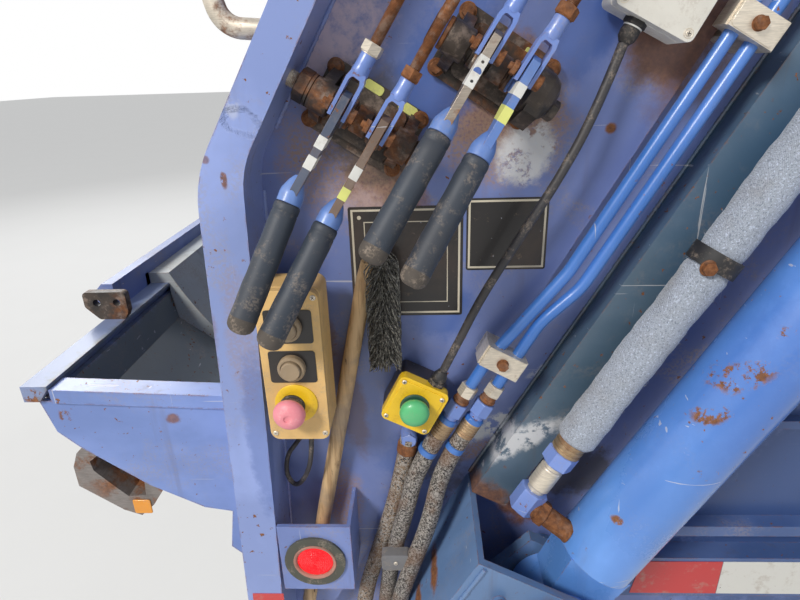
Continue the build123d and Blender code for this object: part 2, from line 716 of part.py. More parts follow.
def carriage_panel():
    """Flat panel between the side plates, closed at its top by a round tube."""
    edge = WALL_INNER + SIDE_GAP + CARRIAGE_PLATE
    top_s, n = CARRIAGE_TOP_S, CARRIAGE_N
    panel = pack_bar(PIVOT_S + PANEL_FROM, top_s + 12, n - PANEL_FRONT, n - PANEL_BACK,
                     edge, WIDTH - edge)
    tube = round_bar(pack_point(top_s, n, edge), pack_point(top_s, n, WIDTH - edge), TUBE_BEAM)
    return panel + tube


def carriage_ribs():
    """Stiffeners along the back of the panel, evenly spread across the width."""
    n = CARRIAGE_N
    edge = WALL_INNER + SIDE_GAP + CARRIAGE_PLATE
    pitch = (WIDTH - 2 * edge) / (RIB_COUNT + 1)
    low_s = PIVOT_S + PANEL_FROM + 20
    high_s = CARRIAGE_TOP_S - TUBE_BEAM - 20
    ribs = []
    for k in range(RIB_COUNT):
        y = edge + pitch * (k + 1)
        ribs.append(pack_plate([(low_s, n - PANEL_BACK), (high_s, n - PANEL_BACK),
                                (high_s - RIB_TAPER, n + RIB_BACK),
                                (low_s + RIB_TAPER, n + RIB_BACK)],
                               y - RIB_THICK / 2, y + RIB_THICK / 2))
    return ribs


def cylinder_anchors():
    """Pairs of lugs on the panel with the pins that hold the sweep cylinders."""
    n, s = CARRIAGE_N, PIVOT_S + ANCHOR_ALONG
    beam = round_bar(pack_point(CARRIAGE_TOP_S, n), pack_point(CARRIAGE_TOP_S, n, WIDTH), TUBE_BEAM)
    anchors = []
    for y in CYLINDER_YS:
        anchor = round_bar(pack_point(s, n + ANCHOR_BACK, y - LUG_OUT - 4),
                           pack_point(s, n + ANCHOR_BACK, y + LUG_OUT + 4), ANCHOR_PIN)
        for side_y in (y - LUG_OUT, y + LUG_OUT - LUG_THICK):
            anchor += pack_plate([(s - 60, n - PANEL_BACK), (s + 50, n - PANEL_BACK),
                                  (s + 40, n + ANCHOR_BACK + 20), (s + 20, n + ANCHOR_BACK + 40),
                                  (s - 20, n + ANCHOR_BACK + 40), (s - 40, n + ANCHOR_BACK + 20)],
                                 side_y, side_y + LUG_THICK) - beam
        anchors.append(anchor)
    return anchors


def sweep_point(r, angle):
    """Point (x, z) at a radius and angle round the sweep panel's pivot."""
    px, pz = pivot_xz()
    return px + r * cos(radians(angle)), pz + r * sin(radians(angle))


def sweep_panel():
    """Curved blade on its pivot tube, with ears for the two sweep cylinders."""
    low = WALL_INNER + SIDE_GAP + CARRIAGE_PLATE + SWEEP_SIDE_GAP
    high = WIDTH - low
    rest = SWEEP_REST
    front = ThreePointArc(*[(x, high, z) for x, z in (sweep_point(SWEEP_TUBE - 1, rest + 50),
                                                     sweep_point(SWEEP_BOW, rest + 4),
                                                     sweep_point(SWEEP_RADIUS, rest))])
    back = ThreePointArc(*[(x, high, z) for x, z in (sweep_point(SWEEP_TUBE - 1, rest - 60),
                                                    sweep_point(SWEEP_BOW, rest - 12),
                                                    sweep_point(SWEEP_RADIUS - 4, rest - 3))])
    caps = [Line(front @ 0, back @ 0), Line(front @ 1, back @ 1)]
    blade = extrude(make_face([front, back, *caps]), amount=high - low, dir=(0, -1, 0))
    px, pz = pivot_xz()
    tube = round_bar((px, low, pz), (px, high, pz), SWEEP_TUBE)
    panel = blade + tube
    for y in CYLINDER_YS:
        tip = sweep_point(ARM_RADIUS, rest - ARM_BACK)
        root_a = sweep_point(70, rest - ARM_BACK + 70)
        root_b = sweep_point(70, rest - ARM_BACK - 60)
        edge_a = sweep_point(ARM_RADIUS + 30, rest - ARM_BACK + 9)
        edge_b = sweep_point(ARM_RADIUS + 30, rest - ARM_BACK - 9)
        for side_y in (y - ARM_OUT, y + ARM_OUT - ARM_THICK):
            panel += plate([root_a, edge_a, edge_b, root_b], side_y, side_y + ARM_THICK)
        for cap_y in (y - ARM_OUT - 8, y + ARM_OUT):
            panel += round_bar((tip[0], cap_y, tip[1]), (tip[0], cap_y + 8, tip[1]), ARM_CAP)
    pin_low = WALL_INNER + SIDE_GAP
    pin = round_bar((px, pin_low, pz), (px, WIDTH - pin_low, pz), SWEEP_PIN_RADIUS)
    return panel + pin


def cylinder_barrel(start, direction, length, radius, bore, rod_radius, eye_gap):
    """Barrel along a direction from its base eye, open for the rod at the gland."""
    start, direction = Vector(*start), Vector(*direction).normalized()
    def at(d):
        return start + direction * d
    def solid(d0, d1, r):
        return round_bar(tuple(at(d0)), tuple(at(d1)), r)
    gland = length - GLAND_LENGTH
    body = solid(eye_gap, length, radius) - solid(eye_gap + BARREL_END, gland, bore)
    body += solid(gland - 6, length + 4, radius + GLAND_COLLAR)
    body -= solid(gland - 10, length + 5, rod_radius + RUNNING_GAP)
    return body


def cylinder_rod(start, direction, piston_at, eye_at, bore, rod_radius):
    """Piston and rod along a direction from the base eye's centre."""
    start, direction = Vector(*start), Vector(*direction).normalized()
    def at(d):
        return tuple(start + direction * d)
    rod_from = piston_at + PISTON_LENGTH
    piston = round_bar(at(piston_at), at(rod_from), bore - PISTON_GAP)
    return piston + round_bar(at(rod_from), at(eye_at), rod_radius)


def packing_barrel():
    """Barrel of the packing cylinder with its base eye and ports."""
    base = pack_point(0, 0, BARREL_Y)
    along = Vector(*pack_point(1, 0)) - Vector(*pack_point(0, 0))
    body = cylinder_barrel(base, tuple(along), BARREL_LENGTH, BARREL_RADIUS, BARREL_BORE,
                           ROD_RADIUS, BARREL_FOOT)
    eye = round_bar(pack_point(0, 0, BARREL_Y - 40), pack_point(0, 0, BARREL_Y + 40), BARREL_EYE)
    eye -= round_bar(pack_point(0, 0, BARREL_Y - 41), pack_point(0, 0, BARREL_Y + 41),
                     BASE_PIN_RADIUS + RUNNING_GAP)
    neck = pack_plate([(36.0, -42.0), (BARREL_FOOT, -50.0), (BARREL_FOOT, 50.0), (36.0, 42.0)],
                      BARREL_Y - 36, BARREL_Y + 36)
    hole = round_bar(pack_point(0, 0, BARREL_Y - 60), pack_point(0, 0, BARREL_Y + 60),
                     BASE_PIN_RADIUS + RUNNING_GAP)
    return body + eye + neck - hole


def packing_rod():
    """Chromed rod with its piston and the eye on the carriage's trunnion."""
    base = pack_point(0, 0, BARREL_Y)
    along = Vector(*pack_point(1, 0)) - Vector(*pack_point(0, 0))
    rod = cylinder_rod(base, tuple(along), PISTON_REST, PACK_EYE_S - 40, BARREL_BORE, ROD_RADIUS)
    eye = round_bar(pack_point(PACK_EYE_S, 0, BARREL_Y - 36),
                    pack_point(PACK_EYE_S, 0, BARREL_Y + 36), ROD_EYE)
    hole = round_bar(pack_point(PACK_EYE_S, 0, BARREL_Y - 40),
                     pack_point(PACK_EYE_S, 0, BARREL_Y + 40), TRUNNION_RADIUS + TRUNNION_GAP)
    return rod + eye - hole


def cylinder_foot():
    """Box bracket at the packing cylinder's base: two cheeks, a flange, a floor and the pins."""
    outer_y = BARREL_Y - CHEEK_OUT
    top, low, corner, front = FOOT_TOP_S, FOOT_LOW_S, FOOT_CORNER_S, FOOT_FRONT_N
    foot = pack_plate([(top, front), (top, FOOT_N), (low, FOOT_N), (corner, front)],
                      outer_y - CHEEK_THICK, outer_y)
    foot += pack_plate([(52.0, -50.0), (52.0, 60.0), (-84.0, 92.0), (-84.0, front)],
                       BARREL_Y + 46, BARREL_Y + 66)
    foot += pack_plate([(top, FOOT_N - 10), (top, FOOT_N), (low, FOOT_N), (low + 4, FOOT_N - 10)],
                       outer_y - 1, WALL_SKIN)
    foot += pack_plate([(corner, front), (low, FOOT_N), (low + 14, FOOT_N), (corner + 14, front)],
                       outer_y - 1, WALL_SKIN)
    foot += round_bar(pack_point(0, 0, outer_y - 14), pack_point(0, 0, WALL_SKIN),
                      BASE_PIN_RADIUS)
    for s, n, radius, out in FOOT_PINS:
        foot += round_bar(pack_point(s, n, outer_y - CHEEK_THICK - out),
                          pack_point(s, n, outer_y - 2), radius)
    return foot


def sweep_axis_points():
    """Top anchor and lower eye of a sweep cylinder at rest, as (x, z)."""
    ax, _, az = pack_point(PIVOT_S + ANCHOR_ALONG, CARRIAGE_N + ANCHOR_BACK)
    return (ax, az), sweep_point(ARM_RADIUS, SWEEP_REST - ARM_BACK)


def sweep_barrels():
    """Barrels of the two sweep cylinders, hung from the lugs on the carriage."""
    (ax, az), (tx, tz) = sweep_axis_points()
    along = (tx - ax, 0, tz - az)
    reach = Vector(*along).normalized() * SWEEP_NECK
    half = SWEEP_EYE_HALF
    barrels = []
    for y in CYLINDER_YS:
        body = cylinder_barrel((ax, y, az), along, SWEEP_BARREL, SWEEP_BARREL_RADIUS,
                               SWEEP_BORE, SWEEP_ROD_RADIUS, SWEEP_NECK - 2)
        body += round_bar((ax, y, az), (ax + reach.X, y, az + reach.Z), 20.0)
        eye = round_bar((ax, y - half, az), (ax, y + half, az), SWEEP_BASE_EYE)
        hole = round_bar((ax, y - 2 * half, az), (ax, y + 2 * half, az), ANCHOR_PIN + RUNNING_GAP)
        barrels.append(body + eye - hole)
    return barrels


def sweep_rods():
    """Rods of the two sweep cylinders with the eyes between the panel's arms."""
    (ax, az), (tx, tz) = sweep_axis_points()
    along = (tx - ax, 0, tz - az)
    length = hypot(tx - ax, tz - az)
    half = SWEEP_EYE_HALF
    rods = []
    for y in CYLINDER_YS:
        rod = cylinder_rod((ax, y, az), along, SWEEP_BARREL - 2 * GLAND_LENGTH, length - 30,
                           SWEEP_BORE, SWEEP_ROD_RADIUS)
        rods.append(rod + round_bar((tx, y - half, tz), (tx, y + half, tz), SWEEP_ROD_EYE))
    return rods


def lever_axes():
    """Directions of the lever frame: along the rods, outward, along the shaft."""
    a = radians(LEVER_ANGLE)
    return (cos(a), 0, sin(a)), (0, -1, 0), (sin(a), 0, -cos(a))


def lever_point(index, along, out, aside=0.0):
    """Point in the frame of one lever, measured from its pivot."""
    u, w, v = lever_axes()
    pair = index // 2
    step = pair * LEVER_STEP
    base = (FIRST_PIVOT_X, PIVOT_Y, FIRST_PIVOT_Z)
    across = index * LEVER_PITCH + pair * PAIR_GAP + aside
    return tuple(base[k] + (along + step) * u[k] + out * w[k] + across * v[k]
                 for k in range(3))


def lever_plate(index, points, aside, thick):
    """Plate in one lever's plane from (along, out) points, centred at aside."""
    u, _, v = lever_axes()
    plane = Plane(origin=lever_point(index, 0, 0, aside - thick / 2), x_dir=u, z_dir=v)
    return extrude(plane * make_face(Polyline(*points, close=True)), amount=thick)


def lever(index):
    """Hub, flat bar, shouldered neck and link pin of one control lever."""
    bar_to, _ = LEVER_BARS[index]
    bar = lever_plate(index, [(-14, 8), (-17, 38), (-bar_to + 6, NECK_OUT - 9), (-bar_to, NECK_OUT - 4),
                              (-bar_to, NECK_OUT + 7), (-bar_to + 12, NECK_OUT + 8), (LINK_ALONG, 64),
                              (LINK_ALONG + 15, 61), (LINK_ALONG + 20, 50), (15, 8)],
                      0.0, LEVER_PLATE)
    hub = round_bar(lever_point(index, 0, 0, -11), lever_point(index, 0, 0, 11), LEVER_HUB)
    hole = round_bar(lever_point(index, 0, 0, -20), lever_point(index, 0, 0, 20),
                     SHAFT_RADIUS + RUNNING_GAP)
    pin = round_bar(lever_point(index, LINK_ALONG, LINK_OUT, -14),
                    lever_point(index, LINK_ALONG, LINK_OUT, 14), LINK_PIN)
    start, end = grip_ends(index)
    back = (start - end).normalized()
    neck = turned(start, back, [(0, GRIP_RADIUS - 1), (15, GRIP_RADIUS - 1), (26, 8), (30, 5)])
    return bar + hub + neck + pin - hole


def turned(origin, axis, stages):
    """Solid turned about an axis from (distance along, radius) stages."""
    outline = [(0, stages[0][0])] + [(r, h) for h, r in stages] + [(0, stages[-1][0])]
    face = make_face(Polyline(*[(r, 0, h) for r, h in outline], close=True))
    return revolve(face, axis=Axis.Z).moved(Plane(origin=origin, z_dir=axis).location)


def grip_ends(index):
    """Centres of a grip's two ends."""
    bar_to, aside = LEVER_BARS[index]
    return (Vector(*lever_point(index, -bar_to - 2, NECK_OUT)),
            Vector(*lever_point(index, -bar_to - GRIP_REACH, GRIP_OUT, aside)))


def lever_grip(index):
    """Tapered hand grip with a rounded end, pushed up to the lever's neck."""
    start, end = grip_ends(index)
    length = (end - start).length
    return turned(start, end - start, [(0.2, GRIP_RADIUS - 2), (3, GRIP_RADIUS),
                                       (length - 12, GRIP_RADIUS + 1), (length - 4, GRIP_RADIUS - 2),
                                       (length, GRIP_RADIUS - 7)])


def hex_bar(start, end, flats):
    """Hexagonal bar between two points."""
    line = Vector(*end) - Vector(*start)
    plane = Plane(origin=start, z_dir=line)
    return extrude(plane * RegularPolygon(flats / 2, 6, major_radius=False), amount=line.length)


def yoke(index):
    """Forked end of a link rod: two arms that meet in rounded shoulders on a round neck."""
    inner = LEVER_PLATE / 2 + YOKE_GAP
    outer = inner + YOKE_ARM
    _, w, v = lever_axes()
    plane = Plane(origin=lever_point(index, 0, LINK_OUT - YOKE_WIDTH / 2), x_dir=v, z_dir=w)
    low = LINK_ALONG - 9
    outline = [(-outer, low), (-outer, YOKE_TOP - 9), (-YOKE_NECK, YOKE_TOP), (YOKE_NECK, YOKE_TOP),
               (outer, YOKE_TOP - 9), (outer, low), (inner, low), (inner, YOKE_TOP - 10),
               (inner - 3, YOKE_TOP - 6), (3 - inner, YOKE_TOP - 6), (-inner, YOKE_TOP - 10),
               (-inner, low)]
    fork = extrude(plane * make_face(Polyline(*outline, close=True)), amount=YOKE_WIDTH)
    half = YOKE_WIDTH / 2
    profile = round_bar(lever_point(index, LINK_ALONG, LINK_OUT, -outer - 1),
                        lever_point(index, LINK_ALONG, LINK_OUT, outer + 1), half)
    profile += lever_plate(index, [(LINK_ALONG, LINK_OUT - half), (YOKE_TOP + 1, LINK_OUT - half),
                                   (YOKE_TOP + 1, LINK_OUT + half), (LINK_ALONG, LINK_OUT + half)],
                           0.0, 2 * outer + 2)
    neck = round_bar(lever_point(index, YOKE_TOP - 4, LINK_OUT),
                     lever_point(index, NUT_FROM, LINK_OUT), YOKE_NECK)
    hole = round_bar(lever_point(index, LINK_ALONG, LINK_OUT, -20),
                     lever_point(index, LINK_ALONG, LINK_OUT, 20), LINK_PIN + RUNNING_GAP)
    return (fork & profile) + neck - hole


def link_rod(index):
    """Rod from a lever's pin to its valve spool, with its yoke, lock nut and top clevis."""
    top = VALVE_U - (index // 2) * LEVER_STEP - 70.0
    nut_to = NUT_FROM + NUT_HEIGHT
    rod = round_bar(lever_point(index, NUT_FROM - 4, LINK_OUT),
                    lever_point(index, top, LINK_OUT), LINK_RADIUS)
    thread = round_bar(lever_point(index, nut_to - 1, LINK_OUT),
                       lever_point(index, THREAD_TO, LINK_OUT), LINK_RADIUS - THREAD_DEPTH)
    nut = hex_bar(lever_point(index, NUT_FROM, LINK_OUT), lever_point(index, nut_to, LINK_OUT),
                  NUT_FLATS)
    low, high = LINK_OUT - 9, LINK_OUT + 9
    clevis = lever_plate(index, [(top - CLEVIS_LENGTH, low), (top + CLEVIS_LENGTH, low),
                                 (top + CLEVIS_LENGTH, high), (top - CLEVIS_LENGTH, high)],
                         0.0, CLEVIS_WIDTH)
    rod -= round_bar(lever_point(index, nut_to, LINK_OUT),
                     lever_point(index, THREAD_TO, LINK_OUT), LINK_RADIUS + CUT)
    return yoke(index) + rod + thread + nut + clevis


def lever_bracket(first):
    """Shaft for a pair of levers with nuts on its ends, two ears and a base plate."""
    nut_to = SHAFT_NUT_ASIDE + SHAFT_OVER + SHAFT_NUT_HEIGHT
    bracket = round_bar(lever_point(first, 0, 0, -nut_to), lever_point(first, 0, 0,
                        LEVER_PITCH + nut_to), SHAFT_RADIUS)
    for aside in (-SHAFT_NUT_ASIDE - SHAFT_NUT_HEIGHT, LEVER_PITCH + SHAFT_NUT_ASIDE):
        bracket += hex_bar(lever_point(first, 0, 0, aside),
                           lever_point(first, 0, 0, aside + SHAFT_NUT_HEIGHT), SHAFT_NUT)
    for aside in (-EAR_ASIDE, LEVER_PITCH + EAR_ASIDE):
        bracket += lever_plate(first, [(-30, PIVOT_Y + 6), (30, PIVOT_Y + 6), (18, 18), (-18, 18)],
                               aside, BRACKET_EAR)
        bracket += round_bar(lever_point(first, 0, 0, aside - 14),
                             lever_point(first, 0, 0, aside + 14), LEVER_HUB + 1)
    base = lever_plate(first, [(-42, PIVOT_Y), (42, PIVOT_Y), (42, PIVOT_Y + BRACKET_BASE),
                               (-42, PIVOT_Y + BRACKET_BASE)],
                       LEVER_PITCH / 2, LEVER_PITCH + 3 * EAR_ASIDE)
    return bracket + base


def valve_bank():
    """Four valve sections bolted together, with their spool ends and the webs behind them."""
    body = None
    for index in range(4):
        low = VALVE_U - (index // 2) * LEVER_STEP
        high = low + VALVE_LENGTH
        section = lever_plate(index, [(low, PIVOT_Y + 2), (high, PIVOT_Y + 2),
                                      (high, VALVE_OUT), (low, VALVE_OUT)], 0.0, LEVER_PITCH - 4)
        spool = round_bar(lever_point(index, low - SPOOL_LENGTH, LINK_OUT),
                          lever_point(index, low, LINK_OUT), SPOOL_RADIUS)
        cap = round_bar(lever_point(index, high, LINK_OUT),
                        lever_point(index, high + CAP_LENGTH, LINK_OUT), SPOOL_CAP)
        body = section if body is None else body + section
        body = body + spool + cap
    middle = 1.5 * LEVER_PITCH
    back = lever_plate(0, [(VALVE_U + 40, PIVOT_Y), (VALVE_U + 110, PIVOT_Y),
                           (VALVE_U + 110, PIVOT_Y + 20), (VALVE_U + 40, PIVOT_Y + 20)],
                       middle, 4 * LEVER_PITCH)
    tie = lever_plate(0, [(VALVE_U + 15, PIVOT_Y + 20), (VALVE_U + 115, PIVOT_Y + 20),
                          (VALVE_U + 115, 60), (VALVE_U + 15, 60)],
                      middle, 4 * LEVER_PITCH - 40)
    return body + back + tie


def button_station():
    """Three-button control box on its stand-off plate."""
    back_y = STATION_Y + STATION_DEPTH
    box = block(STATION_LOW_X, STATION_HIGH_X, STATION_Y, back_y, STATION_LOW_Z, STATION_TOP_Z)
    box = fillet(box.edges().filter_by(Axis.Y), 12.0)
    stand = block(STATION_LOW_X + 14, STATION_HIGH_X - 14, back_y, 0.0,
                  STATION_LOW_Z + 24, STATION_TOP_Z - 24)
    return box + stand


def station_buttons():
    """Two capped push buttons in their collars."""
    parts = []
    for z in BUTTON_ZS:
        collar_y = STATION_Y - 10
        collar = round_bar((BUTTON_X, STATION_Y, z), (BUTTON_X, collar_y, z), 17.0)
        parts.append(collar + round_bar((BUTTON_X, collar_y, z), (BUTTON_X, collar_y - 5, z), 12.0))
    return parts


def mushroom(x, y_base, z, radius, stem):
    """Mushroom-headed button on its collar, facing outward."""
    profile = [(0, 0), (15, 0), (15, stem), (radius, stem), (radius, stem + 6),
               (radius - 5, stem + 12), (0, stem + 15)]
    face = make_face(Polyline(*[(r, 0, h) for r, h in profile], close=True))
    head = revolve(face, axis=Axis.Z)
    return head.moved(Plane(origin=(x, y_base, z), z_dir=(0, -1, 0)).location)


def box_point(x, z, a, b):
    """Point a along and b up in a box tilted with the slope, centred at (x, z)."""
    tilt = radians(BOX_TILT)
    return x + a * cos(tilt) - b * sin(tilt), z + a * sin(tilt) + b * cos(tilt)


def square(half, x, z):
    """Corners of a square tilted with the slope."""
    return [box_point(x, z, a, b) for a, b in ((-half, -half), (half, -half), (half, half),
                                               (-half, half))]


def start_box():
    """Square push-button box set across the slope on a short stand-off."""
    half = START_HALF
    back_y = START_Y + START_DEPTH
    box = plate(square(half, START_X, START_Z), START_Y, back_y)
    box = fillet(box.edges().filter_by(Axis.Y), BOX_EDGE)
    stand = plate(square(half - 10, START_X, START_Z), back_y, 0.0)
    low_x, low_z = box_point(START_X, START_Z, 14, half - 1)
    top_x, top_z = box_point(START_X, START_Z, 14, half + 22)
    return box + stand + round_bar((low_x, CABLE_Y, low_z), (top_x, CABLE_Y, top_z), 10.0)


def lamp_bracket():
    """Bent guard plate that holds the tail lamp clear of the wall."""
    back_y = BRACKET_FACE_Y + BRACKET_SHEET
    face = block(BRACKET_LOW_X, BRACKET_HIGH_X, BRACKET_FACE_Y, back_y,
                 BRACKET_LOW_Z, BRACKET_TOP_Z)
    side = block(BRACKET_HIGH_X - BRACKET_SHEET, BRACKET_HIGH_X, back_y, 0.0,
                 BRACKET_LOW_Z, BRACKET_TOP_Z)
    return face + side - lamp_bar(BRACKET_FACE_Y - CUT, back_y + CUT, LAMP_RADIUS + GROMMET_GROOVE)


def lamp_bar(y_low, y_high, radius):
    """Round bar on the lamp's axis."""
    return round_bar((LAMP_X, y_low, LAMP_Z), (LAMP_X, y_high, LAMP_Z), radius)


def lamp_grommet():
    """Rubber ring that grips the bracket's hole and the lamp in it."""
    back_y = BRACKET_FACE_Y + BRACKET_SHEET
    outer = lamp_bar(BRACKET_FACE_Y - 4, back_y + 6, LAMP_RADIUS + GROMMET_RIM)
    groove = lamp_bar(BRACKET_FACE_Y, back_y, 2 * LAMP_RADIUS)
    groove -= lamp_bar(BRACKET_FACE_Y, back_y, LAMP_RADIUS + GROMMET_GROOVE)
    return outer - groove - lamp_bar(LAMP_FACE_Y, back_y + 8, LAMP_RADIUS)


def tail_lamp():
    """Round sealed lamp."""
    return lamp_bar(LAMP_FACE_Y, LAMP_FACE_Y + LAMP_DEPTH, LAMP_RADIUS)


def junction_box():
    """Cable box set across the slope on a stand-off, with its cable gland."""
    tilt = radians(BOX_TILT)
    along = (cos(tilt), 0, sin(tilt))
    face = Plane(origin=(JUNCTION_X, JUNCTION_Y, JUNCTION_Z), x_dir=along, z_dir=(0, -1, 0))
    box = extrude(face * Rectangle(JUNCTION_WIDTH, JUNCTION_HEIGHT), amount=JUNCTION_DEPTH)
    box = fillet(box.edges(), JUNCTION_EDGE)
    back = Plane(origin=(JUNCTION_X, 0.0, JUNCTION_Z), x_dir=along, z_dir=(0, -1, 0))
    stand = extrude(back * Rectangle(JUNCTION_WIDTH - 32, JUNCTION_HEIGHT - 30), amount=14.0)
    top_x, top_z = box_point(JUNCTION_X, JUNCTION_Z, -10, 2 - JUNCTION_HEIGHT / 2)
    low_x, low_z = box_point(JUNCTION_X, JUNCTION_Z, -10, -23 - JUNCTION_HEIGHT / 2)
    return box + stand + round_bar((top_x, CABLE_Y, top_z), (low_x, CABLE_Y, low_z), 11.0)


def hard_tubes(radius):
    """Two steel tubes side by side along the packing slope."""
    tubes = []
    for n, bend_s, foot_s, foot_n, low_s in TUBE_ROUTES:
        tubes.append(bent_tube([pack_point(TUBE_TOP_S, n, TUBE_Y), pack_point(bend_s, n, TUBE_Y),
                                pack_point(foot_s, foot_n, TUBE_Y),
                                pack_point(low_s, foot_n, TUBE_Y)], radius, TUBE_BEND))
    return tubes


def tube_clamps():
    """Clamp blocks with their cover plates, bolted over the pair of tubes."""
    clamps = []
    cutters = hard_tubes(TUBE_RADIUS + RUNNING_GAP)
    half = CLAMP_LENGTH / 2
    for s, mid in CLAMPS:
        low, high = s - half, s + half
        reach = CLAMP_HALF - 2
        front_y, back_y = TUBE_Y - CLAMP_OUT, TUBE_Y + CLAMP_OUT
        clamp = pack_bar(low, high, mid - CLAMP_HALF, mid + CLAMP_HALF, front_y, back_y)
        if mid < BEND_N:
            clamp += pack_bar(low, high, mid - reach, BEND_N - 6, back_y, WALL_SKIN)
        else:
            clamp += pack_bar(low, high, BEND_N + 4, mid + reach, back_y, 0.0)
        clamp += pack_bar(low, high, mid - reach, mid + reach, front_y - CLAMP_PLATE, front_y)
        for cutter in cutters:
            clamp -= cutter
        clamps.append(clamp)
    return clamps


def sleeved_line():
    """Large hose in its abrasion sleeve along the packing cylinder."""
    return round_bar(pack_point(SLEEVE_LOW_S, SLEEVE_N, SLEEVE_Y),
                     pack_point(SLEEVE_TOP_S, SLEEVE_N, SLEEVE_Y), SLEEVE_RADIUS)


def staged(stages):
    """Fitting of round and hexagonal stages in line, from (start, end, radius, hexagonal)."""
    whole = None
    for start, end, size, hexagonal in stages:
        stage = hex_bar(start, end, 2 * size) if hexagonal else round_bar(start, end, size)
        whole = stage if whole is None else whole + stage
    return whole


def sleeve_fittings():
    """Adapters at both ends of the sleeved line, each with the boss that carries it."""
    parts = []
    for s, sign in ((SLEEVE_LOW_S, -1), (SLEEVE_TOP_S, 1)):
        parts.append(staged([(pack_point(s + sign * from_s, SLEEVE_N, SLEEVE_Y),
                              pack_point(s + sign * to_s, SLEEVE_N, SLEEVE_Y), size, hexagonal)
                             for from_s, to_s, size, hexagonal in SLEEVE_STEPS]))
    elbow_s = SLEEVE_LOW_S - SLEEVE_STEPS[-1][1] + PORT_INSET
    port = round_bar(pack_point(elbow_s, SLEEVE_N, SLEEVE_Y),
                     pack_point(elbow_s, BARREL_RADIUS - 8, BARREL_Y), PORT_RADIUS)
    port -= round_bar(pack_point(elbow_s - 60, 0, BARREL_Y), pack_point(elbow_s + 60, 0, BARREL_Y),
                      BARREL_RADIUS + RUNNING_GAP)
    boss_s = SLEEVE_TOP_S + SLEEVE_STEPS[-1][1] - PORT_INSET
    boss = round_bar(pack_point(boss_s, SLEEVE_N, SLEEVE_Y),
                     pack_point(boss_s, SLEEVE_N, -TRACK_OUT), BOSS_RADIUS)
    return [parts[0] + port, parts[1] + boss]


def sleeve_clamp():
    """Strap round the sleeved line with a bolted tab on the track."""
    s_low, s_high = STRAP_S - STRAP_HALF, STRAP_S + STRAP_HALF
    ring = round_bar(pack_point(s_low, SLEEVE_N, SLEEVE_Y), pack_point(s_high, SLEEVE_N, SLEEVE_Y),
                     SLEEVE_RADIUS + STRAP_THICK)
    edge_n = TRACK_N - TRACK_WIDTH / 2 - 26
    tab = pack_bar(s_low, s_high, SLEEVE_N - 26, SLEEVE_N, -TRACK_OUT - 8, -TRACK_OUT)
    tab += pack_bar(s_low, s_high, edge_n - 26, edge_n, -TRACK_OUT - 8, -TRACK_OUT - 2)
    tab += pack_bar(s_low, s_high, edge_n - 26, edge_n - 10, -TRACK_OUT - 2, WALL_SKIN)
    return ring + tab - round_bar(pack_point(s_low - CUT, SLEEVE_N, SLEEVE_Y),
                                  pack_point(s_high + CUT, SLEEVE_N, SLEEVE_Y),
                                  SLEEVE_RADIUS + RUNNING_GAP)


def bent_tube(points, radius, bend=0.0):
    """Tube along straight runs joined by tangent arcs, sized by the runs unless bend is set."""
    vectors = [Vector(*p) for p in points]
    radii = []
    for before, corner, after in zip(vectors, vectors[1:], vectors[2:]):
        run = min((corner - before).length, (after - corner).length)
        turn = (corner - before).get_angle(after - corner)
        radii.append(bend if bend > 0 else 0.45 * run / tan(radians(turn / 2)))
    print("radii", [round(r) for r in radii])
    path = FilletPolyline(*points, radius=radii) if len(radii) > 0 else Polyline(*points)
    start = Plane(origin=vectors[0], z_dir=vectors[1] - vectors[0])
    tube = sweep(start * Circle(radius), path=path)
    length = path.length
    print("length", round(length), "volume ratio",
          round(tube.volume / (length * pi * radius * radius), 4))
    return tube


def station_cable():
    """Cable from the junction box down to the start box."""
    return bent_tube(CABLE_POINTS, CABLE_RADIUS)


def feed_hoses():
    """Flexible hoses from the tube ends down to the ports in the wall's foot."""
    starts = []
    for _, _, _, low_n, low_s in TUBE_ROUTES:
        below = low_s - FITTING_STEPS[-1][1]
        starts.append([pack_point(below - 0.2, low_n, TUBE_Y),
                       pack_point(below - HOSE_FIRST_RUN, low_n, TUBE_Y)])
    starts.append(BRANCH_TOP)
    return [bent_tube(start + route, HOSE_RADIUS) for start, route in zip(starts, HOSE_ROUTES)]


def hose_fittings():
    """Nuts between the steel tubes and their hoses, the branch's boss and the lower stubs."""
    parts = []
    for _, _, _, low_n, low_s in TUBE_ROUTES:
        parts.append(staged([(pack_point(low_s - from_s, low_n, TUBE_Y),
                              pack_point(low_s - to_s, low_n, TUBE_Y), size, hexagonal)
                             for from_s, to_s, size, hexagonal in FITTING_STEPS]))
    top = Vector(*BRANCH_TOP[0])
    parts.append(round_bar((top.X, top.Y - BRANCH_BOSS, top.Z), (top.X, 0, top.Z), BRANCH_BOSS)
                 - bent_tube(BRANCH_TOP, HOSE_RADIUS))
    for route in HOSE_ROUTES:
        x, y, _ = route[-1]
        parts.append(round_bar((x, y, BOTTOM + 2), (x, y, BULKHEAD_Z), STUB_RADIUS)
                     + round_bar((x, y, BULKHEAD_Z), (x, y, HOSE_END_Z - 1.8), STUB_NUT))
    return parts


def hose_bulkhead():
    """Bent plate on the wall's foot that carries the hoses' lower ends."""
    low, high = BULKHEAD_Z - BULKHEAD_SHEET, BULKHEAD_Z
    shelf = block(BULKHEAD_FROM_X, BULKHEAD_TO_X, -BULKHEAD_OUT, 0.0, low, high)
    shelf += block(BULKHEAD_FROM_X, BULKHEAD_TO_X, -BULKHEAD_SHEET, 0.0, high,
                   high + BULKHEAD_RISE)
    for route in HOSE_ROUTES:
        x, y, _ = route[-1]
        shelf -= round_bar((x, y, low - CUT), (x, y, high + CUT), STUB_RADIUS + RUNNING_GAP)
    return shelf


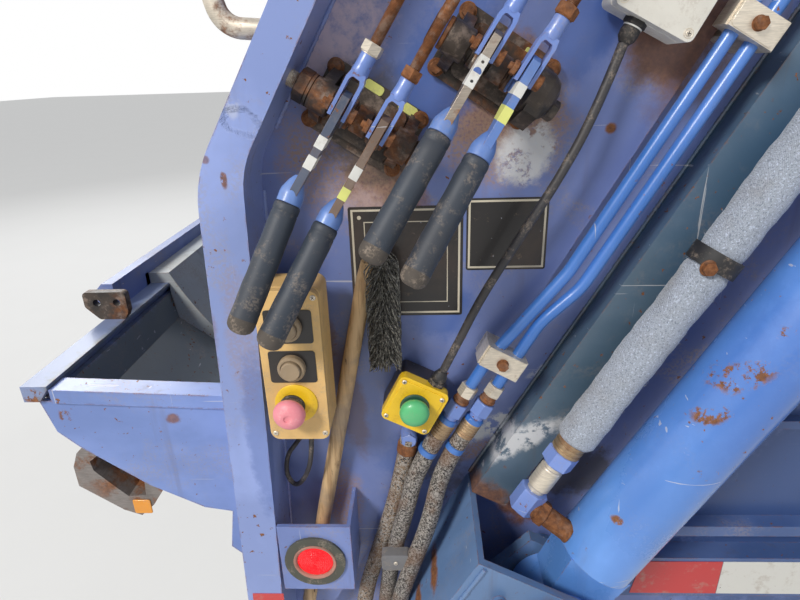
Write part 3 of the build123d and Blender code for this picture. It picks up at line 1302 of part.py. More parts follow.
def broom():
    """Wooden handle stowed between wall and lamp bracket, with its bristle head."""
    handle = round_bar(BROOM_FOOT, BROOM_TOP, BROOM_RADIUS)
    bristles = block(HEAD_LOW_X, HEAD_HIGH_X, -HEAD_OUT, -BRISTLE_GAP, HEAD_LOW_Z, HEAD_TOP_Z)
    bristles -= round_bar(BROOM_FOOT, BROOM_TOP, BROOM_RADIUS + RUNNING_GAP)
    return handle, bristles


def grab_handle():
    """Bent hand rail at the post's upper corner."""
    low_z, high_z = RAIL_LOW_Z, RAIL_HIGH_Z
    points = [(post_line(low_z), RAIL_Y, low_z), (50.0, RAIL_Y, low_z + 4),
              (38.0, RAIL_Y, low_z + 46), (176.0, RAIL_Y, high_z),
              (post_line(high_z), RAIL_Y, high_z)]
    return bent_tube(points, RAIL_RADIUS) - rear_post()


def latch_bracket():
    """Cast container latch hung under the trough's slope: a closed pocket in a thick rim."""
    *_, top, under = trough_section()
    slope = Vector(under[0] - top[0], under[1] - top[1]).normalized()
    def at(along, below):
        return (top[0] + slope.X * along + slope.Y * below,
                top[1] + slope.Y * along - slope.X * below)
    body = plate([at(*p) for p in LATCH_OUTLINE], LATCH_Y, LATCH_Y + LATCH_DEPTH)
    pocket = plate([at(*p) for p in LATCH_POCKET], LATCH_Y - CUT,
                   LATCH_Y + LATCH_DEPTH - LATCH_BACK)
    return body - pocket


def container_ear():
    """Upright ear with two bolt holes, where a container's pin is caught on the edge."""
    x = TROUGH_REAR_X
    top = EAR_TOP_Z
    outline = FilletPolyline((x - 32, 0, top - 29), (x - 32, 0, top), (x + 48, 0, top),
                             (x + 48, 0, TROUGH_RIM_Z + 15), (x + 40, 0, TROUGH_RIM_Z),
                             (x - 8, 0, TROUGH_RIM_Z), radius=8.0, close=True)
    ear = extrude(make_face(outline), amount=EAR_THICK, dir=(0, 1, 0)).moved(
        Location((0, EAR_Y, 0)))
    for hole_x in (x - 8, x + 30):
        ear -= round_bar((hole_x, EAR_Y - CUT, EAR_HOLE_Z),
                         (hole_x, EAR_Y + EAR_THICK + CUT, EAR_HOLE_Z), EAR_HOLE)
    return ear


pieces["right_side_wall"] = side_wall()
pieces["left_side_wall"] = to_left(side_wall())
pieces["carriage_tracks"] = both_sides(carriage_track())
pieces["rear_posts"] = both_sides(rear_post())
pieces["hopper_floor"] = hopper_floor()
pieces["rear_trough"] = rear_trough()
pieces["trough_sides"] = both_sides(trough_side())
pieces["hood"] = hood()
pieces["seam_frame"] = seam_frame()
pieces["hinge_lugs"] = both_sides(hinge_ear())
pieces["lock_lugs"] = both_sides(lower_lock())
pieces["side_rails"] = both_sides(lower_side_rails())
pieces["carriage_sides"] = both_sides(carriage_side())
pieces["carriage_panel"] = Compound([carriage_panel(), *carriage_ribs()])
pieces["cylinder_anchors"] = Compound(cylinder_anchors())
pieces["sweep_panel"] = sweep_panel()
pieces["packing_barrels"] = both_sides(packing_barrel())
pieces["packing_rods"] = both_sides(packing_rod())
pieces["cylinder_feet"] = both_sides(cylinder_foot())
pieces["sweep_barrels"] = Compound(sweep_barrels())
pieces["sweep_rods"] = Compound(sweep_rods())
for index in range(4):
    pieces[f"lever_{index + 1}"] = lever(index)
    pieces[f"lever_grip_{index + 1}"] = lever_grip(index)
    pieces[f"link_rod_{index + 1}"] = link_rod(index)
pieces["lever_brackets"] = Compound([lever_bracket(0), lever_bracket(2)])
pieces["valve_bank"] = valve_bank()
pieces["button_station"] = button_station()
pieces["station_buttons"] = Compound(station_buttons())
pieces["stop_button"] = mushroom(STOP_X, STATION_Y, STOP_Z, MUSHROOM, STOP_STEM)
pieces["start_box"] = start_box()
pieces["start_button"] = mushroom(START_X, START_Y, START_Z, MUSHROOM, START_STEM)
pieces["lamp_brackets"] = both_sides(lamp_bracket())
pieces["lamp_grommets"] = both_sides(lamp_grommet())
pieces["tail_lamps"] = both_sides(tail_lamp())
pieces["junction_box"] = junction_box()
pieces["station_cable"] = station_cable()
pieces["lamp_cable"] = bent_tube(LAMP_CABLE, LAMP_CABLE_RADIUS)
pieces["steel_tubes"] = Compound(hard_tubes(TUBE_RADIUS))
pieces["tube_clamps"] = Compound(tube_clamps())
pieces["sleeved_line"] = sleeved_line()
pieces["sleeve_clamp"] = sleeve_clamp()
pieces["line_fittings"] = Compound(sleeve_fittings() + hose_fittings())
pieces["feed_hoses"] = Compound(feed_hoses())
pieces["hose_bulkhead"] = hose_bulkhead()
pieces["broom_handle"], pieces["broom_bristles"] = broom()
pieces["grab_handle"] = grab_handle()
pieces["latch_bracket"] = latch_bracket()
pieces["container_ears"] = both_sides(container_ear())
pieces["raised_sill"] = raised_sill()
pieces["sill_bumper"] = sill_bumper()

for name, solid in pieces.items():
    placed = solid.moved(Location((-ORIGIN[0], -ORIGIN[1], -ORIGIN[2])))
    export_step(placed, f"parts/{name}.step")
print(len(pieces), "pieces")
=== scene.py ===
import random
from math import cos, pi, radians, sin, sqrt, tan

import bmesh
import bpy
from mathutils import Matrix, Vector


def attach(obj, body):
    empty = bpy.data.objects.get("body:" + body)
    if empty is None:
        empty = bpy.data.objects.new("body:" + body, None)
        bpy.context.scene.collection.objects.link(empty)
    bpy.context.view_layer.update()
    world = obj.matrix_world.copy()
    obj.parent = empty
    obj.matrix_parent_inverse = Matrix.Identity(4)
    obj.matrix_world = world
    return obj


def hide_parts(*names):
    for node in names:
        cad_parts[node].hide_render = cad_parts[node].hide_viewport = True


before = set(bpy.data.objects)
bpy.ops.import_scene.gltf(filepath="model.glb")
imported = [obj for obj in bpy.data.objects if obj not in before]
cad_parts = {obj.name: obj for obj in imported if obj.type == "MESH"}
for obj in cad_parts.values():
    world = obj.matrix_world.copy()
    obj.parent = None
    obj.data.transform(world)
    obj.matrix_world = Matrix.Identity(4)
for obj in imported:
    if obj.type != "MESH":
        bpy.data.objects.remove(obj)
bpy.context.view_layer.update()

rng = random.Random(11)

# Places
# The part is measured in vehicle millimetres: X forward from the rear edge, Y to the left
# from the right wall's face, Z up from the ground. The frame's origin is the roof hinge.
ORIGIN = (1930.0, 300.0, 3100.0)
MM = 0.001
PACK = radians(60.95)
PACK_X, PACK_Z = 450, 790
LEAN = radians(57.5)
WIDTH = 2200.0


def at(x, y, z):
    """Frame point of a place given in vehicle millimetres."""
    return Vector(((x - ORIGIN[0]) * MM, (y - ORIGIN[1]) * MM, (z - ORIGIN[2]) * MM))


def slope(s, n, y=0.0):
    """Frame point s along the packing line and n behind it."""
    return at(PACK_X + s * cos(PACK) - n * sin(PACK), y, PACK_Z + s * sin(PACK) + n * cos(PACK))


def mirrored(point, side):
    """The point itself, or its mirror on the left wall where side is -1."""
    if side > 0:
        return point
    return Vector((point.x, at(0, WIDTH, 0).y - (point.y - at(0, 0, 0).y), point.z))


SLOPE_S = Vector((cos(PACK), 0, sin(PACK)))
SLOPE_N = Vector((-sin(PACK), 0, cos(PACK)))
LEVER_U = Vector((cos(LEAN), 0, sin(LEAN)))
LEVER_V = Vector((sin(LEAN), 0, -cos(LEAN)))
OUT = Vector((0, -1, 0))
UP = Vector((0, 0, 1))
FORWARD = Vector((1, 0, 0))
LEVER_BASE = at(174.6, -45.0, 1510.1)
LEVER_PITCH = 45.5
PAIR_GAP = 7.5
LEVER_STEP = 124.0


def lever_at(index, along, out, aside=0.0):
    """Frame point measured from one lever's pivot: along its rod, outward, along the shaft."""
    pair = index // 2
    shift = index * LEVER_PITCH + pair * PAIR_GAP + aside
    return LEVER_BASE + ((along + pair * LEVER_STEP) * LEVER_U + out * OUT + shift * LEVER_V) * MM


def add_object(name, data):
    made = bpy.data.objects.new(name, data)
    bpy.context.scene.collection.objects.link(made)
    return made


# Camera, fitted to the photo
camera_data = bpy.data.cameras.new("camera")
camera_data.lens = 25.2
camera_data.sensor_width = 36.0
camera_data.clip_start = 0.05
camera_data.clip_end = 200.0
camera = add_object("camera", camera_data)
RIGHT = Vector((0.99902, 0.03343, -0.02906))
TOPWARD = Vector((0.01418, 0.38030, 0.92476))
AHEAD = Vector((-0.04197, 0.92426, -0.37946))
EYE = Vector((-1.670, -1.000, -1.550))
camera.matrix_world = Matrix([(RIGHT[i], TOPWARD[i], -AHEAD[i], EYE[i]) for i in range(3)] + [(0, 0, 0, 1)])
bpy.context.scene.camera = camera


# Material kit
def feed(tree, socket, value):
    """Links a socket or sets a value; None leaves the socket as it is."""
    if isinstance(value, bpy.types.NodeSocket):
        tree.links.new(value, socket)
    elif value is not None:
        socket.default_value = value


def add_node(tree, kind, settings=(), *values, **named):
    """New shader node; values feed its sockets in their order, the named ones by their names."""
    made = tree.nodes.new("ShaderNode" + kind)
    for key, value in dict(settings).items():
        setattr(made, key, value)
    for key, value in [*enumerate(values), *named.items()]:
        feed(tree, made.inputs[key if isinstance(key, int) else key.replace("_", " ")], value)
    return made


def shade(colour, gain, add=0.0):
    return tuple(min(1, c * gain + add) for c in colour)


finishes = {}


class Finish:
    """A node material with short calls for the patterns that wear leaves on a machine."""

    def __init__(self, name, colour, roughness, metallic=0.0):
        self.material = finishes[name] = bpy.data.materials.new(name)
        self.material.use_nodes = True
        self.tree = self.material.node_tree
        self.place = self.node("TexCoord").outputs["Object"]
        self.colour = (*colour, 1)
        self.roughness = roughness
        self.metallic = metallic
        self.height = None

    def node(self, kind, settings=(), *values, **named):
        return add_node(self.tree, kind, settings, *values, **named)

    def maths(self, operation, *values):
        return self.node("Math", {"operation": operation}, *values).outputs[0]

    def vector(self, operation, *values):
        output = "Value" if operation in ("LENGTH", "DOT_PRODUCT") else "Vector"
        return self.node("VectorMath", {"operation": operation}, *values).outputs[output]

    def both(self, mask, *others):
        """Product of masks and shares."""
        for other in others:
            mask = self.maths("MULTIPLY", mask, other)
        return mask

    def noise(self, scale, detail, rough, warp=0.0, stretch=None, turn=0.0):
        """Noise from 0 to 1; scale is in features to the metre, turn is about Y."""
        where = self.place
        if stretch:
            where = self.node("Mapping", Vector=where, Scale=stretch, Rotation=(0, turn, 0)).outputs[0]
        return self.node("TexNoise", Vector=where, Scale=scale, Detail=detail, Roughness=rough,
                         Distortion=warp).outputs[0]

    def cells(self, scale, feature):
        """Distance in a regular grid of cells."""
        return self.node("TexVoronoi", {"feature": feature}, Vector=self.place, Scale=scale,
                         Randomness=0.0).outputs["Distance"]

    def level(self, value, low, high, to_low=0.0, to_high=1.0):
        """Rises smoothly from to_low to to_high while the value goes from low to high."""
        return self.node("MapRange", {"interpolation_type": "SMOOTHSTEP"}, Value=value, From_Min=low,
                         From_Max=high, To_Min=to_low, To_Max=to_high).outputs[0]

    def patch(self, scale, detail, rough, low, high, share=None, **noise):
        """Mask of the places where a noise rises from low to high, at a share of its strength."""
        mask = self.level(self.noise(scale, detail, rough, **noise), low, high)
        return mask if share is None else self.both(mask, share)

    def spot(self, centre, radii, tilt, ragged=0.30):
        """Ragged patch round a frame point; radii in millimetres along X, Y and Z."""
        away = self.vector("SUBTRACT", self.place, centre)
        turned = self.node("VectorRotate", {"rotation_type": "Y_AXIS"}, Vector=away, Angle=radians(tilt))
        size = self.vector("LENGTH", self.vector("MULTIPLY", turned.outputs[0], [1000.0 / r for r in radii]))
        shaken = self.maths("MULTIPLY_ADD", self.noise(30, 7, 0.72), ragged * 4, size)
        return self.level(shaken, 1.0 + ragged * 2.0, 0.55 + ragged * 2.0)

    def edge(self, radius):
        """Mask of the convex edges, where paint wears first; radius in millimetres."""
        rounded_normal = self.node("Bevel", {"samples": 4}, Radius=radius * MM).outputs[0]
        flat = self.node("NewGeometry").outputs["True Normal"]
        bent = self.maths("SUBTRACT", 1.0, self.vector("DOT_PRODUCT", rounded_normal, flat))
        return self.level(bent, 0.03, 0.25)

    def mix(self, mask, a, b):
        return self.node("Mix", (), mask, None, a, b).outputs[0]

    def coat(self, mask, colour, roughness=None, metallic=None, raised=None):
        """Lays another surface over what is there, where the mask is 1."""
        if isinstance(colour, tuple):
            colour = (*colour, 1)
        unused = [None] * 5
        mix = self.node("Mix", {"data_type": "RGBA"}, mask, *unused, self.colour, colour)
        self.colour = mix.outputs[2]
        if roughness is not None:
            self.roughness = self.mix(mask, self.roughness, roughness)
        if metallic is not None:
            self.metallic = self.mix(mask, self.metallic, metallic)
        if raised is not None:
            self.lift(mask, raised)

    def lift(self, mask, amount):
        """Adds to the relief, in millimetres."""
        amount = self.both(mask, amount)
        self.height = amount if self.height is None else self.maths("ADD", self.height, amount)

    def done(self, **shader):
        if self.height is not None:
            shader["Normal"] = self.node("Bump", Height=self.height, Distance=MM, Strength=1.0).outputs[0]
        shader.update(Base_Color=self.colour, Roughness=self.roughness, Metallic=self.metallic)
        for key, value in shader.items():
            feed(self.tree, self.tree.nodes["Principled BSDF"].inputs[key.replace("_", " ")], value)


RUST_DARK = (0.075, 0.028, 0.012)
RUST = (0.20, 0.075, 0.026)
RUST_LIGHT = (0.36, 0.15, 0.055)
GRIME = (0.045, 0.036, 0.030)
DUST = (0.36, 0.29, 0.23)
# Dark blue laid as painted shade
DEEP_SHADE_BLUE = (0.030, 0.070, 0.200)
GREASE = (0.060, 0.044, 0.034)


def rust_colour(f):
    """Mottled rust; here and below, f is the finish that a function mixes."""
    ramp = f.node("ValToRGB", (), f.noise(160, 4, 0.7))
    bands = ramp.color_ramp.elements
    bands.new(0.5)
    for band, position, colour in zip(bands, (0.25, 0.5, 0.78), (RUST_DARK, RUST, RUST_LIGHT)):
        band.position = position
        band.color = (*colour, 1)
    return ramp.outputs[0]


def painted(name, colour, fresh, wear, grime, film, gloss, dents, edge, spots=(), coat=0.25):
    """Weathered enamel: faded and fresh areas, dust film, chips, rust, rubbed edges."""
    f = Finish(name, colour, gloss)
    faded = shade(colour, 1.22, 0.035)
    broad, fine, grit = f.noise(3.2, 5, 0.55, 0.6), f.noise(42, 6, 0.7), f.noise(260, 3, 0.6)
    f.coat(f.level(broad, 0.42, 0.68), faded, gloss + 0.12)
    f.coat(f.patch(2.1, 3, 0.5, 0.53, 0.72, warp=0.4, stretch=(1, 1, 0.45)), fresh, gloss - 0.08)
    f.coat(f.both(f.level(fine, 0.46, 0.62), f.level(broad, 0.35, 0.7), 0.22), faded)
    f.coat(f.both(f.patch(7.5, 6, 0.66, 0.50, 0.66, warp=0.3), f.level(grit, 0.38, 0.60), film), DUST, 0.75)
    runs = f.patch(26, 4, 0.6, 0.57, 0.74, stretch=(1, 1, 0.07))
    f.coat(f.both(runs, f.level(broad, 0.36, 0.6), grime), (0.13, 0.085, 0.06), 0.7)
    lines = f.maths("MAXIMUM", f.patch(34, 3, 0.5, 0.715, 0.73, stretch=(0.12, 1, 5.5), turn=0.7),
                    f.patch(30, 3, 0.5, 0.725, 0.74, stretch=(5.0, 1, 0.10), turn=0.35))
    f.coat(f.both(lines, 0.55), (0.62, 0.62, 0.64), 0.6)
    f.lift(lines, -0.05)
    rust = rust_colour(f)
    f.coat(f.both(f.patch(90, 5, 0.62, 0.665 - 0.03 * wear, 0.69 - 0.03 * wear),
                  f.patch(5, 3, 0.6, 0.46, 0.56)), rust, 0.85, 0.0, -0.12)
    if edge:
        rim = f.edge(edge)
        f.coat(f.both(rim, f.patch(38, 5, 0.7, 0.52 - 0.12 * wear, 0.66 - 0.1 * wear)), rust, 0.8, 0.0)
        f.coat(f.both(rim, f.level(fine, 0.40, 0.55), 0.35), faded)
    # A spot's kind: the pattern that breaks it up, if any, and the surface laid there
    kinds = {"rust": ((), rust, 0.85, 0.0, 0.10),
             "specks": (((48, 7, 0.78), 0.50, 0.54), rust, 0.85, 0.0, 0.10),
             "white": ((fine, 0.40, 0.50), (0.66, 0.67, 0.69), 0.6),
             "film": ((grit, 0.25, 0.6), (0.34, 0.22, 0.15), 0.75),
             # worn lays pale chalky paint, made lighter than the wear itself: partly wear, partly painted
             # light
             "worn": ((fine, 0.30, 0.62), (0.66, 0.52, 0.56), 0.6),
             # deep lays a dark blue as painted shade
             "stain": ((), (0.17, 0.10, 0.075), 0.7), "grime": ((), GRIME, 0.6), "deep": ((), DEEP_SHADE_BLUE, gloss),
             "rim": ((), (0.21, 0.27, 0.46), gloss), "fresh": ((), fresh, gloss - 0.1)}
    for centre, radii, tilt, kind, strength in spots:
        mask = f.both(f.spot(centre, radii, tilt), strength)
        if kind == "dent":
            f.lift(mask, -3.0)
            continue
        pattern, *surface = kinds[kind]
        if pattern:
            source, low, high = pattern
            source = f.noise(*source) if isinstance(source, tuple) else source
            mask = f.both(mask, f.level(source, low, high))
        f.coat(mask, *surface)
    f.lift(f.noise(420, 2, 0.5), 0.05)
    f.lift(f.noise(4.5, 2, 0.5), 5.0 * dents)
    f.done(Coat_Weight=coat, Coat_Roughness=0.22)


def steel(name, colour, roughness, rust, grime, scratch=(1, 1, 12), metal=0.9):
    """Bare steel: brushed along its use, with rust blooms and dark film."""
    f = Finish(name, colour, roughness, metal)
    brush = f.noise(60, 4, 0.7, stretch=scratch)
    f.coat(f.level(brush, 0.3, 0.7), shade(colour, 1.35), roughness - 0.08)
    f.lift(brush, 0.05)
    f.coat(f.patch(9, 6, 0.65, 0.45, 0.68, grime), GRIME, 0.6, 0.3)
    f.coat(f.both(f.patch(22, 7, 0.7, 0.62 - 0.22 * rust, 0.74 - 0.2 * rust),
                  f.patch(4, 3, 0.5, 0.35, 0.6)), rust_colour(f), 0.85, 0.1, 0.12)
    f.lift(f.noise(240, 3, 0.6), 0.06)
    f.done()


def rusty(name, light, grease):
    """Old casting or bolt: pitted rust with dark grease in patches."""
    f = Finish(name, RUST, 0.82, 0.15)
    f.colour = rust_colour(f)
    if grease > 0.9:
        f.coat(f.patch(16, 5, 0.6, 0.34, 0.52), GREASE, 0.5)
    f.coat(f.patch(70, 5, 0.65, 0.48, 0.68, light), (0.36, 0.28, 0.23), 0.7, 0.4)
    f.coat(f.patch(28, 5, 0.6, 0.46, 0.66, grease), (0.024, 0.020, 0.018), 0.45)
    f.lift(f.noise(330, 5, 0.7), 0.35)
    f.done()


def moulded(name, colour, roughness, dirt, grain, edge=1.0, coat=0.0, dust=DUST):
    """Plastic or rubber: moulded grain, dirt in patches, edges rubbed paler."""
    f = Finish(name, colour, roughness)
    f.coat(f.patch(14, 5, 0.6, 0.42, 0.68, dirt),
           tuple(c * 0.45 + d * 0.10 for c, d in zip(colour, dust)), roughness + 0.15)
    f.coat(f.both(f.patch(48, 6, 0.7, 0.5, 0.64), f.patch(400, 2, 0.5, 0.35, 0.6), dirt), dust, 0.8)
    if edge:
        f.coat(f.both(f.edge(edge), f.patch(90, 4, 0.6, 0.35, 0.6), 0.5), shade(colour, 1.5, 0.06))
    f.lift(f.noise(900, 2, 0.5), grain)
    f.lift(f.patch(60, 3, 0.5, 0.66, 0.68), -0.08)
    f.done(Coat_Weight=coat, Coat_Roughness=0.15)


def lens_red():
    f = Finish("lamp_red", (0.86, 0.002, 0.008), 0.22)
    f.lift(f.level(f.cells(330, "F1"), 0.0, 0.5), 0.4)
    f.coat(f.patch(30, 4, 0.6, 0.55, 0.75, 0.4), (0.62, 0.01, 0.02), 0.4)
    # The emission is a faint painted glow in the lens
    f.done(Coat_Weight=0.12, Coat_Roughness=0.15, Emission_Color=(0.9, 0.0, 0.01, 1), Emission_Strength=0.30)


def wood():
    f = Finish("weathered_wood", (0.64, 0.44, 0.235), 0.72)
    turn = radians(12.2)
    grain = f.noise(170, 5, 0.65, 0.6, (1, 1, 0.035), turn)
    f.coat(f.level(grain, 0.42, 0.62), (0.40, 0.25, 0.125))
    f.coat(f.patch(36, 4, 0.6, 0.45, 0.7, 0.7, warp=0.8, stretch=(1, 1, 0.08), turn=turn), (0.62, 0.44, 0.25))
    f.coat(f.patch(14, 5, 0.6, 0.46, 0.66, 0.7), (0.34, 0.27, 0.21), 0.8)
    f.coat(f.patch(120, 4, 0.6, 0.66, 0.70, stretch=(1, 1, 0.12), turn=turn), (0.07, 0.045, 0.03))
    f.lift(grain, 0.5)
    f.done()


def bristle():
    f = Finish("bristle_fibre", (0.055, 0.052, 0.047), 0.6)
    f.coat(f.patch(260, 3, 0.6, 0.44, 0.60), (0.24, 0.23, 0.20))
    f.lift(f.noise(1500, 2, 0.5), 0.02)
    f.done()


def woven(name, light, dark, scale, speck):
    """Textile sleeve: crossed yarns in relief, with grit in the weave."""
    f = Finish(name, light, 0.85)
    weave = []
    for tilt in (30, -30):
        turned = f.node("Mapping", Vector=f.place, Rotation=(0, radians(29.05 + tilt), 0)).outputs[0]
        weave.append(f.node("TexWave", {"wave_type": "BANDS", "bands_direction": "X"}, Vector=turned,
                            Scale=scale, Distortion=1.2, Detail=2.0, Detail_Scale=2.0).outputs["Fac"])
    crossed = f.maths("MAXIMUM", *weave)
    f.coat(f.both(f.level(crossed, 0.25, 0.75, 1.0, 0.0), 0.6), dark)
    f.coat(f.patch(430, 4, 0.8, 0.52, 0.60, speck), shade(dark, 0.6))
    f.coat(f.patch(420, 3, 0.75, 0.56, 0.62, speck), shade(light, 1.7))
    f.coat(f.patch(9, 5, 0.6, 0.5, 0.7, 0.4), (0.20, 0.17, 0.14))
    f.lift(crossed, 0.5)
    f.lift(f.noise(700, 4, 0.8), 0.7)
    f.done(Sheen_Weight=0.35)


def hose_skin(name, tint):
    """Hose whose cover has weathered to a mottled crust."""
    f = Finish(name, tint, 0.85)
    f.coat(f.patch(330, 5, 0.75, 0.47, 0.53), (0.36, 0.335, 0.31))
    f.coat(f.patch(260, 5, 0.7, 0.54, 0.58), (0.020, 0.018, 0.020))
    f.coat(f.patch(18, 4, 0.6, 0.46, 0.64, 0.6), (0.17, 0.09, 0.05))
    f.lift(f.noise(430, 5, 0.75), 1.1)
    f.done()


def reflective(name, colour):
    """Reflective tape: fine cells under a clear face, scuffed."""
    f = Finish(name, colour, 0.3)
    f.coat(f.both(f.level(f.cells(420, "DISTANCE_TO_EDGE"), 0.10, 0.02), 0.35), shade(colour, 0.6))
    f.coat(f.patch(30, 6, 0.7, 0.52, 0.68, 0.5), DUST, 0.7)
    f.coat(f.patch(70, 5, 0.7, 0.68, 0.70), (0.12, 0.10, 0.10), 0.7)
    f.done(Coat_Weight=0.5, Coat_Roughness=0.2)


def decal(name, colour, worn):
    """Printed film on the wall: brown-black, faded, chipped to the paint at its edges."""
    f = Finish(name, colour, 0.38)
    f.coat(f.patch(9, 6, 0.65, 0.44, 0.66, worn, warp=0.4), (0.12, 0.070, 0.045), 0.55)
    f.coat(f.patch(60, 6, 0.75, 0.60, 0.68, worn), (0.30, 0.20, 0.13), 0.7)
    f.coat(f.patch(120, 5, 0.7, 0.70, 0.715), (0.40, 0.42, 0.50))
    f.lift(f.noise(25, 3, 0.5), 0.6)
    f.done(Coat_Weight=0.15)


# Mesh kit
def across(axis):
    """Two unit vectors square to an axis and to each other."""
    axis = axis.normalized()
    helper = OUT if abs(axis.dot(OUT)) < 0.9 else UP
    x = helper.cross(axis).normalized()
    return x, axis.cross(x).normalized()


def circle(centre, x, y, radii, turn=0.0):
    """Points round a centre in the plane of x and y, one for each radius."""
    angles = [turn + 2 * pi * i / len(radii) for i in range(len(radii))]
    return [centre + (x * cos(a) + y * sin(a)) * r * MM for a, r in zip(angles, radii)]


def box(low_x, high_x, low_y, high_y):
    return [(low_x, low_y), (high_x, low_y), (high_x, high_y), (low_x, high_y)]


def rounded(width, depth, radius, steps=5):
    """Outline of a rectangle with round corners, centred."""
    outline = []
    for quarter, (side_x, side_y) in enumerate(((1, 1), (-1, 1), (-1, -1), (1, -1))):
        for i in range(steps + 1):
            angle = radians(90 * quarter + 90 * i / steps)
            outline.append((side_x * (width / 2 - radius) + radius * cos(angle),
                            side_y * (depth / 2 - radius) + radius * sin(angle)))
    return outline


class Form:
    """Gathers closed forms into one mesh. Points are frame points, sizes are millimetres."""

    def __init__(self, name):
        self.name = name
        self.mesh = bmesh.new()
        self.finishes = []
        self.index = 0

    def use(self, finish):
        if finish not in self.finishes:
            self.finishes.append(finish)
        self.index = self.finishes.index(finish)
        return self

    def skin(self, rings):
        """Closed body through rings of points, capped at both ends."""
        rows = [[self.mesh.verts.new(p) for p in ring] for ring in rings]
        count = len(rows[0])
        faces = [(low[i], low[(i + 1) % count], high[(i + 1) % count], high[i])
                 for low, high in zip(rows, rows[1:]) for i in range(count)]
        for corners in (*faces, rows[0][::-1], rows[-1]):
            self.mesh.faces.new(corners).material_index = self.index
        return self

    def lathe(self, origin, axis, profile, sides=32):
        """Turns (height, radius) pairs round the axis."""
        axis = axis.normalized()
        return self.skin([circle(origin + axis * height * MM, *across(axis), [max(radius, 0.02)] * sides)
                          for height, radius in profile])

    def hexagon(self, origin, axis, flats, low, high, turn=0.0):
        """Hexagon head or nut, its corners turned off at both ends."""
        axis = axis.normalized()
        corner = flats / sqrt(3)
        cut = corner * 0.12
        return self.skin([circle(origin + axis * height * MM, *across(axis),
                                 [corner - shrink, flats / 2] * 6, turn)
                          for height, shrink in ((low, cut), (low + cut * 0.6, 0), (high - cut * 0.6, 0),
                                                 (high, cut))])

    def turned(self, origin, axis, *parts):
        """Bodies in line: a finish, then (profile, sides) for a lathe, (flats, low, high, turn) for a nut."""
        for part in parts:
            if isinstance(part, str):
                self.use(part)
            elif isinstance(part, list):
                self.lathe(origin, axis, part)
            elif isinstance(part[0], list):
                self.lathe(origin, axis, *part)
            else:
                self.hexagon(origin, axis, *part)
        return self

    def prism(self, origin, x_dir, normal, outline, height, foot=0.0):
        """Extrudes an outline of (x, y) millimetres from foot to height along the normal."""
        normal = normal.normalized()
        x = x_dir.normalized()
        y = normal.cross(x)
        return self.skin([[origin + (x * a + y * b + normal * h) * MM for a, b in outline]
                          for h in (foot, height)])

    def slab(self, origin, x_dir, size, height, foot=0.0):
        """Plate that faces outward; size is width, depth, corner radius and steps in a corner."""
        return self.prism(origin, x_dir, OUT, rounded(*size), height, foot)

    def tube(self, points, radii, sides):
        """Round bar along a line of points, with a radius for each."""
        rings = []
        x = None
        for i, point in enumerate(points):
            along = (points[min(i + 1, len(points) - 1)] - points[max(i - 1, 0)]).normalized()
            x = across(along)[0] if x is None else x
            x = (x - along * x.dot(along)).normalized()
            rings.append(circle(point, x, along.cross(x), [radii[i]] * sides))
        return self.skin(rings)

    def bolt(self, point, axis, flats, head, washer):
        """Hexagon head on a washer."""
        return self.turned(point, axis, ([(0, washer), (1.6, washer), (2.2, washer - 0.6)], 24),
                           (flats, 2.2, 2.2 + head, rng.uniform(0, pi / 3)))

    def screw(self, point, axis, radius, slot_turn):
        """Cross-head screw: domed head with its recess."""
        self.turned(point, axis, "zinc", ([(0, radius), (0.8, radius), (1.6, radius * 0.8),
                                         (1.9, radius * 0.45)], 20), "rubber")
        x, y = across(axis)
        x = x * cos(slot_turn) + y * sin(slot_turn)
        arm = radius * 0.62
        for side in (x, axis.cross(x)):
            self.prism(point, side, axis, box(-arm, arm, -0.45, 0.45), 2.02, 1.2)
        return self

    def weld(self, start, end, size, normal=OUT):
        """Ripple of a weld bead between two points."""
        steps = max(4, int((end - start).length / MM / 3.2))
        points, radii = [], []
        for i in range(steps + 1):
            wobble = rng.uniform(-0.35, 0.35)
            points.append(start.lerp(end, i / steps) + normal * (wobble * 0.4 * MM))
            radii.append(size * (0.82 + 0.18 * (i % 2)) + wobble)
        return self.tube(points, radii, 8)

    def done(self, slot, bevel=0.0, replaces=(), angle=38.0, segments=2, body="tailgate"):
        bmesh.ops.recalc_face_normals(self.mesh, faces=self.mesh.faces[:])
        data = bpy.data.meshes.new(self.name)
        self.mesh.to_mesh(data)
        self.mesh.free()
        for finish in self.finishes:
            data.materials.append(finishes[finish])
        data.shade_smooth()
        data.set_sharp_from_angle(angle=radians(angle))
        piece = add_object(self.name, data)
        if bevel:
            rim = piece.modifiers.new("bevel", "BEVEL")
            rim.width = bevel * MM
            rim.segments = segments
            rim.limit_method = "ANGLE"
            rim.angle_limit = radians(30)
        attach(piece, body)
        if replaces:
            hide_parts(*replaces)


def curve(name, points, radius, finish, *replaces):
    """Smooth cord through the route's control points."""
    data = bpy.data.curves.new(name, "CURVE")
    data.dimensions = "3D"
    spline = data.splines.new("NURBS")
    spline.points.add(len(points) - 1)
    for target, point in zip(spline.points, points):
        target.co = (*point, 1)
    spline.order_u = 3
    spline.use_endpoint_u = True
    spline.resolution_u = 12
    data.bevel_depth = radius * MM
    data.bevel_resolution = 6
    data.use_fill_caps = True
    data.materials.append(finishes[finish])
    piece = add_object(name, data)
    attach(piece, "tailgate")
    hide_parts(*replaces)
    return piece


# Finishes
LAVENDER = (0.135, 0.185, 0.42)
BLUE = (0.065, 0.130, 0.40)

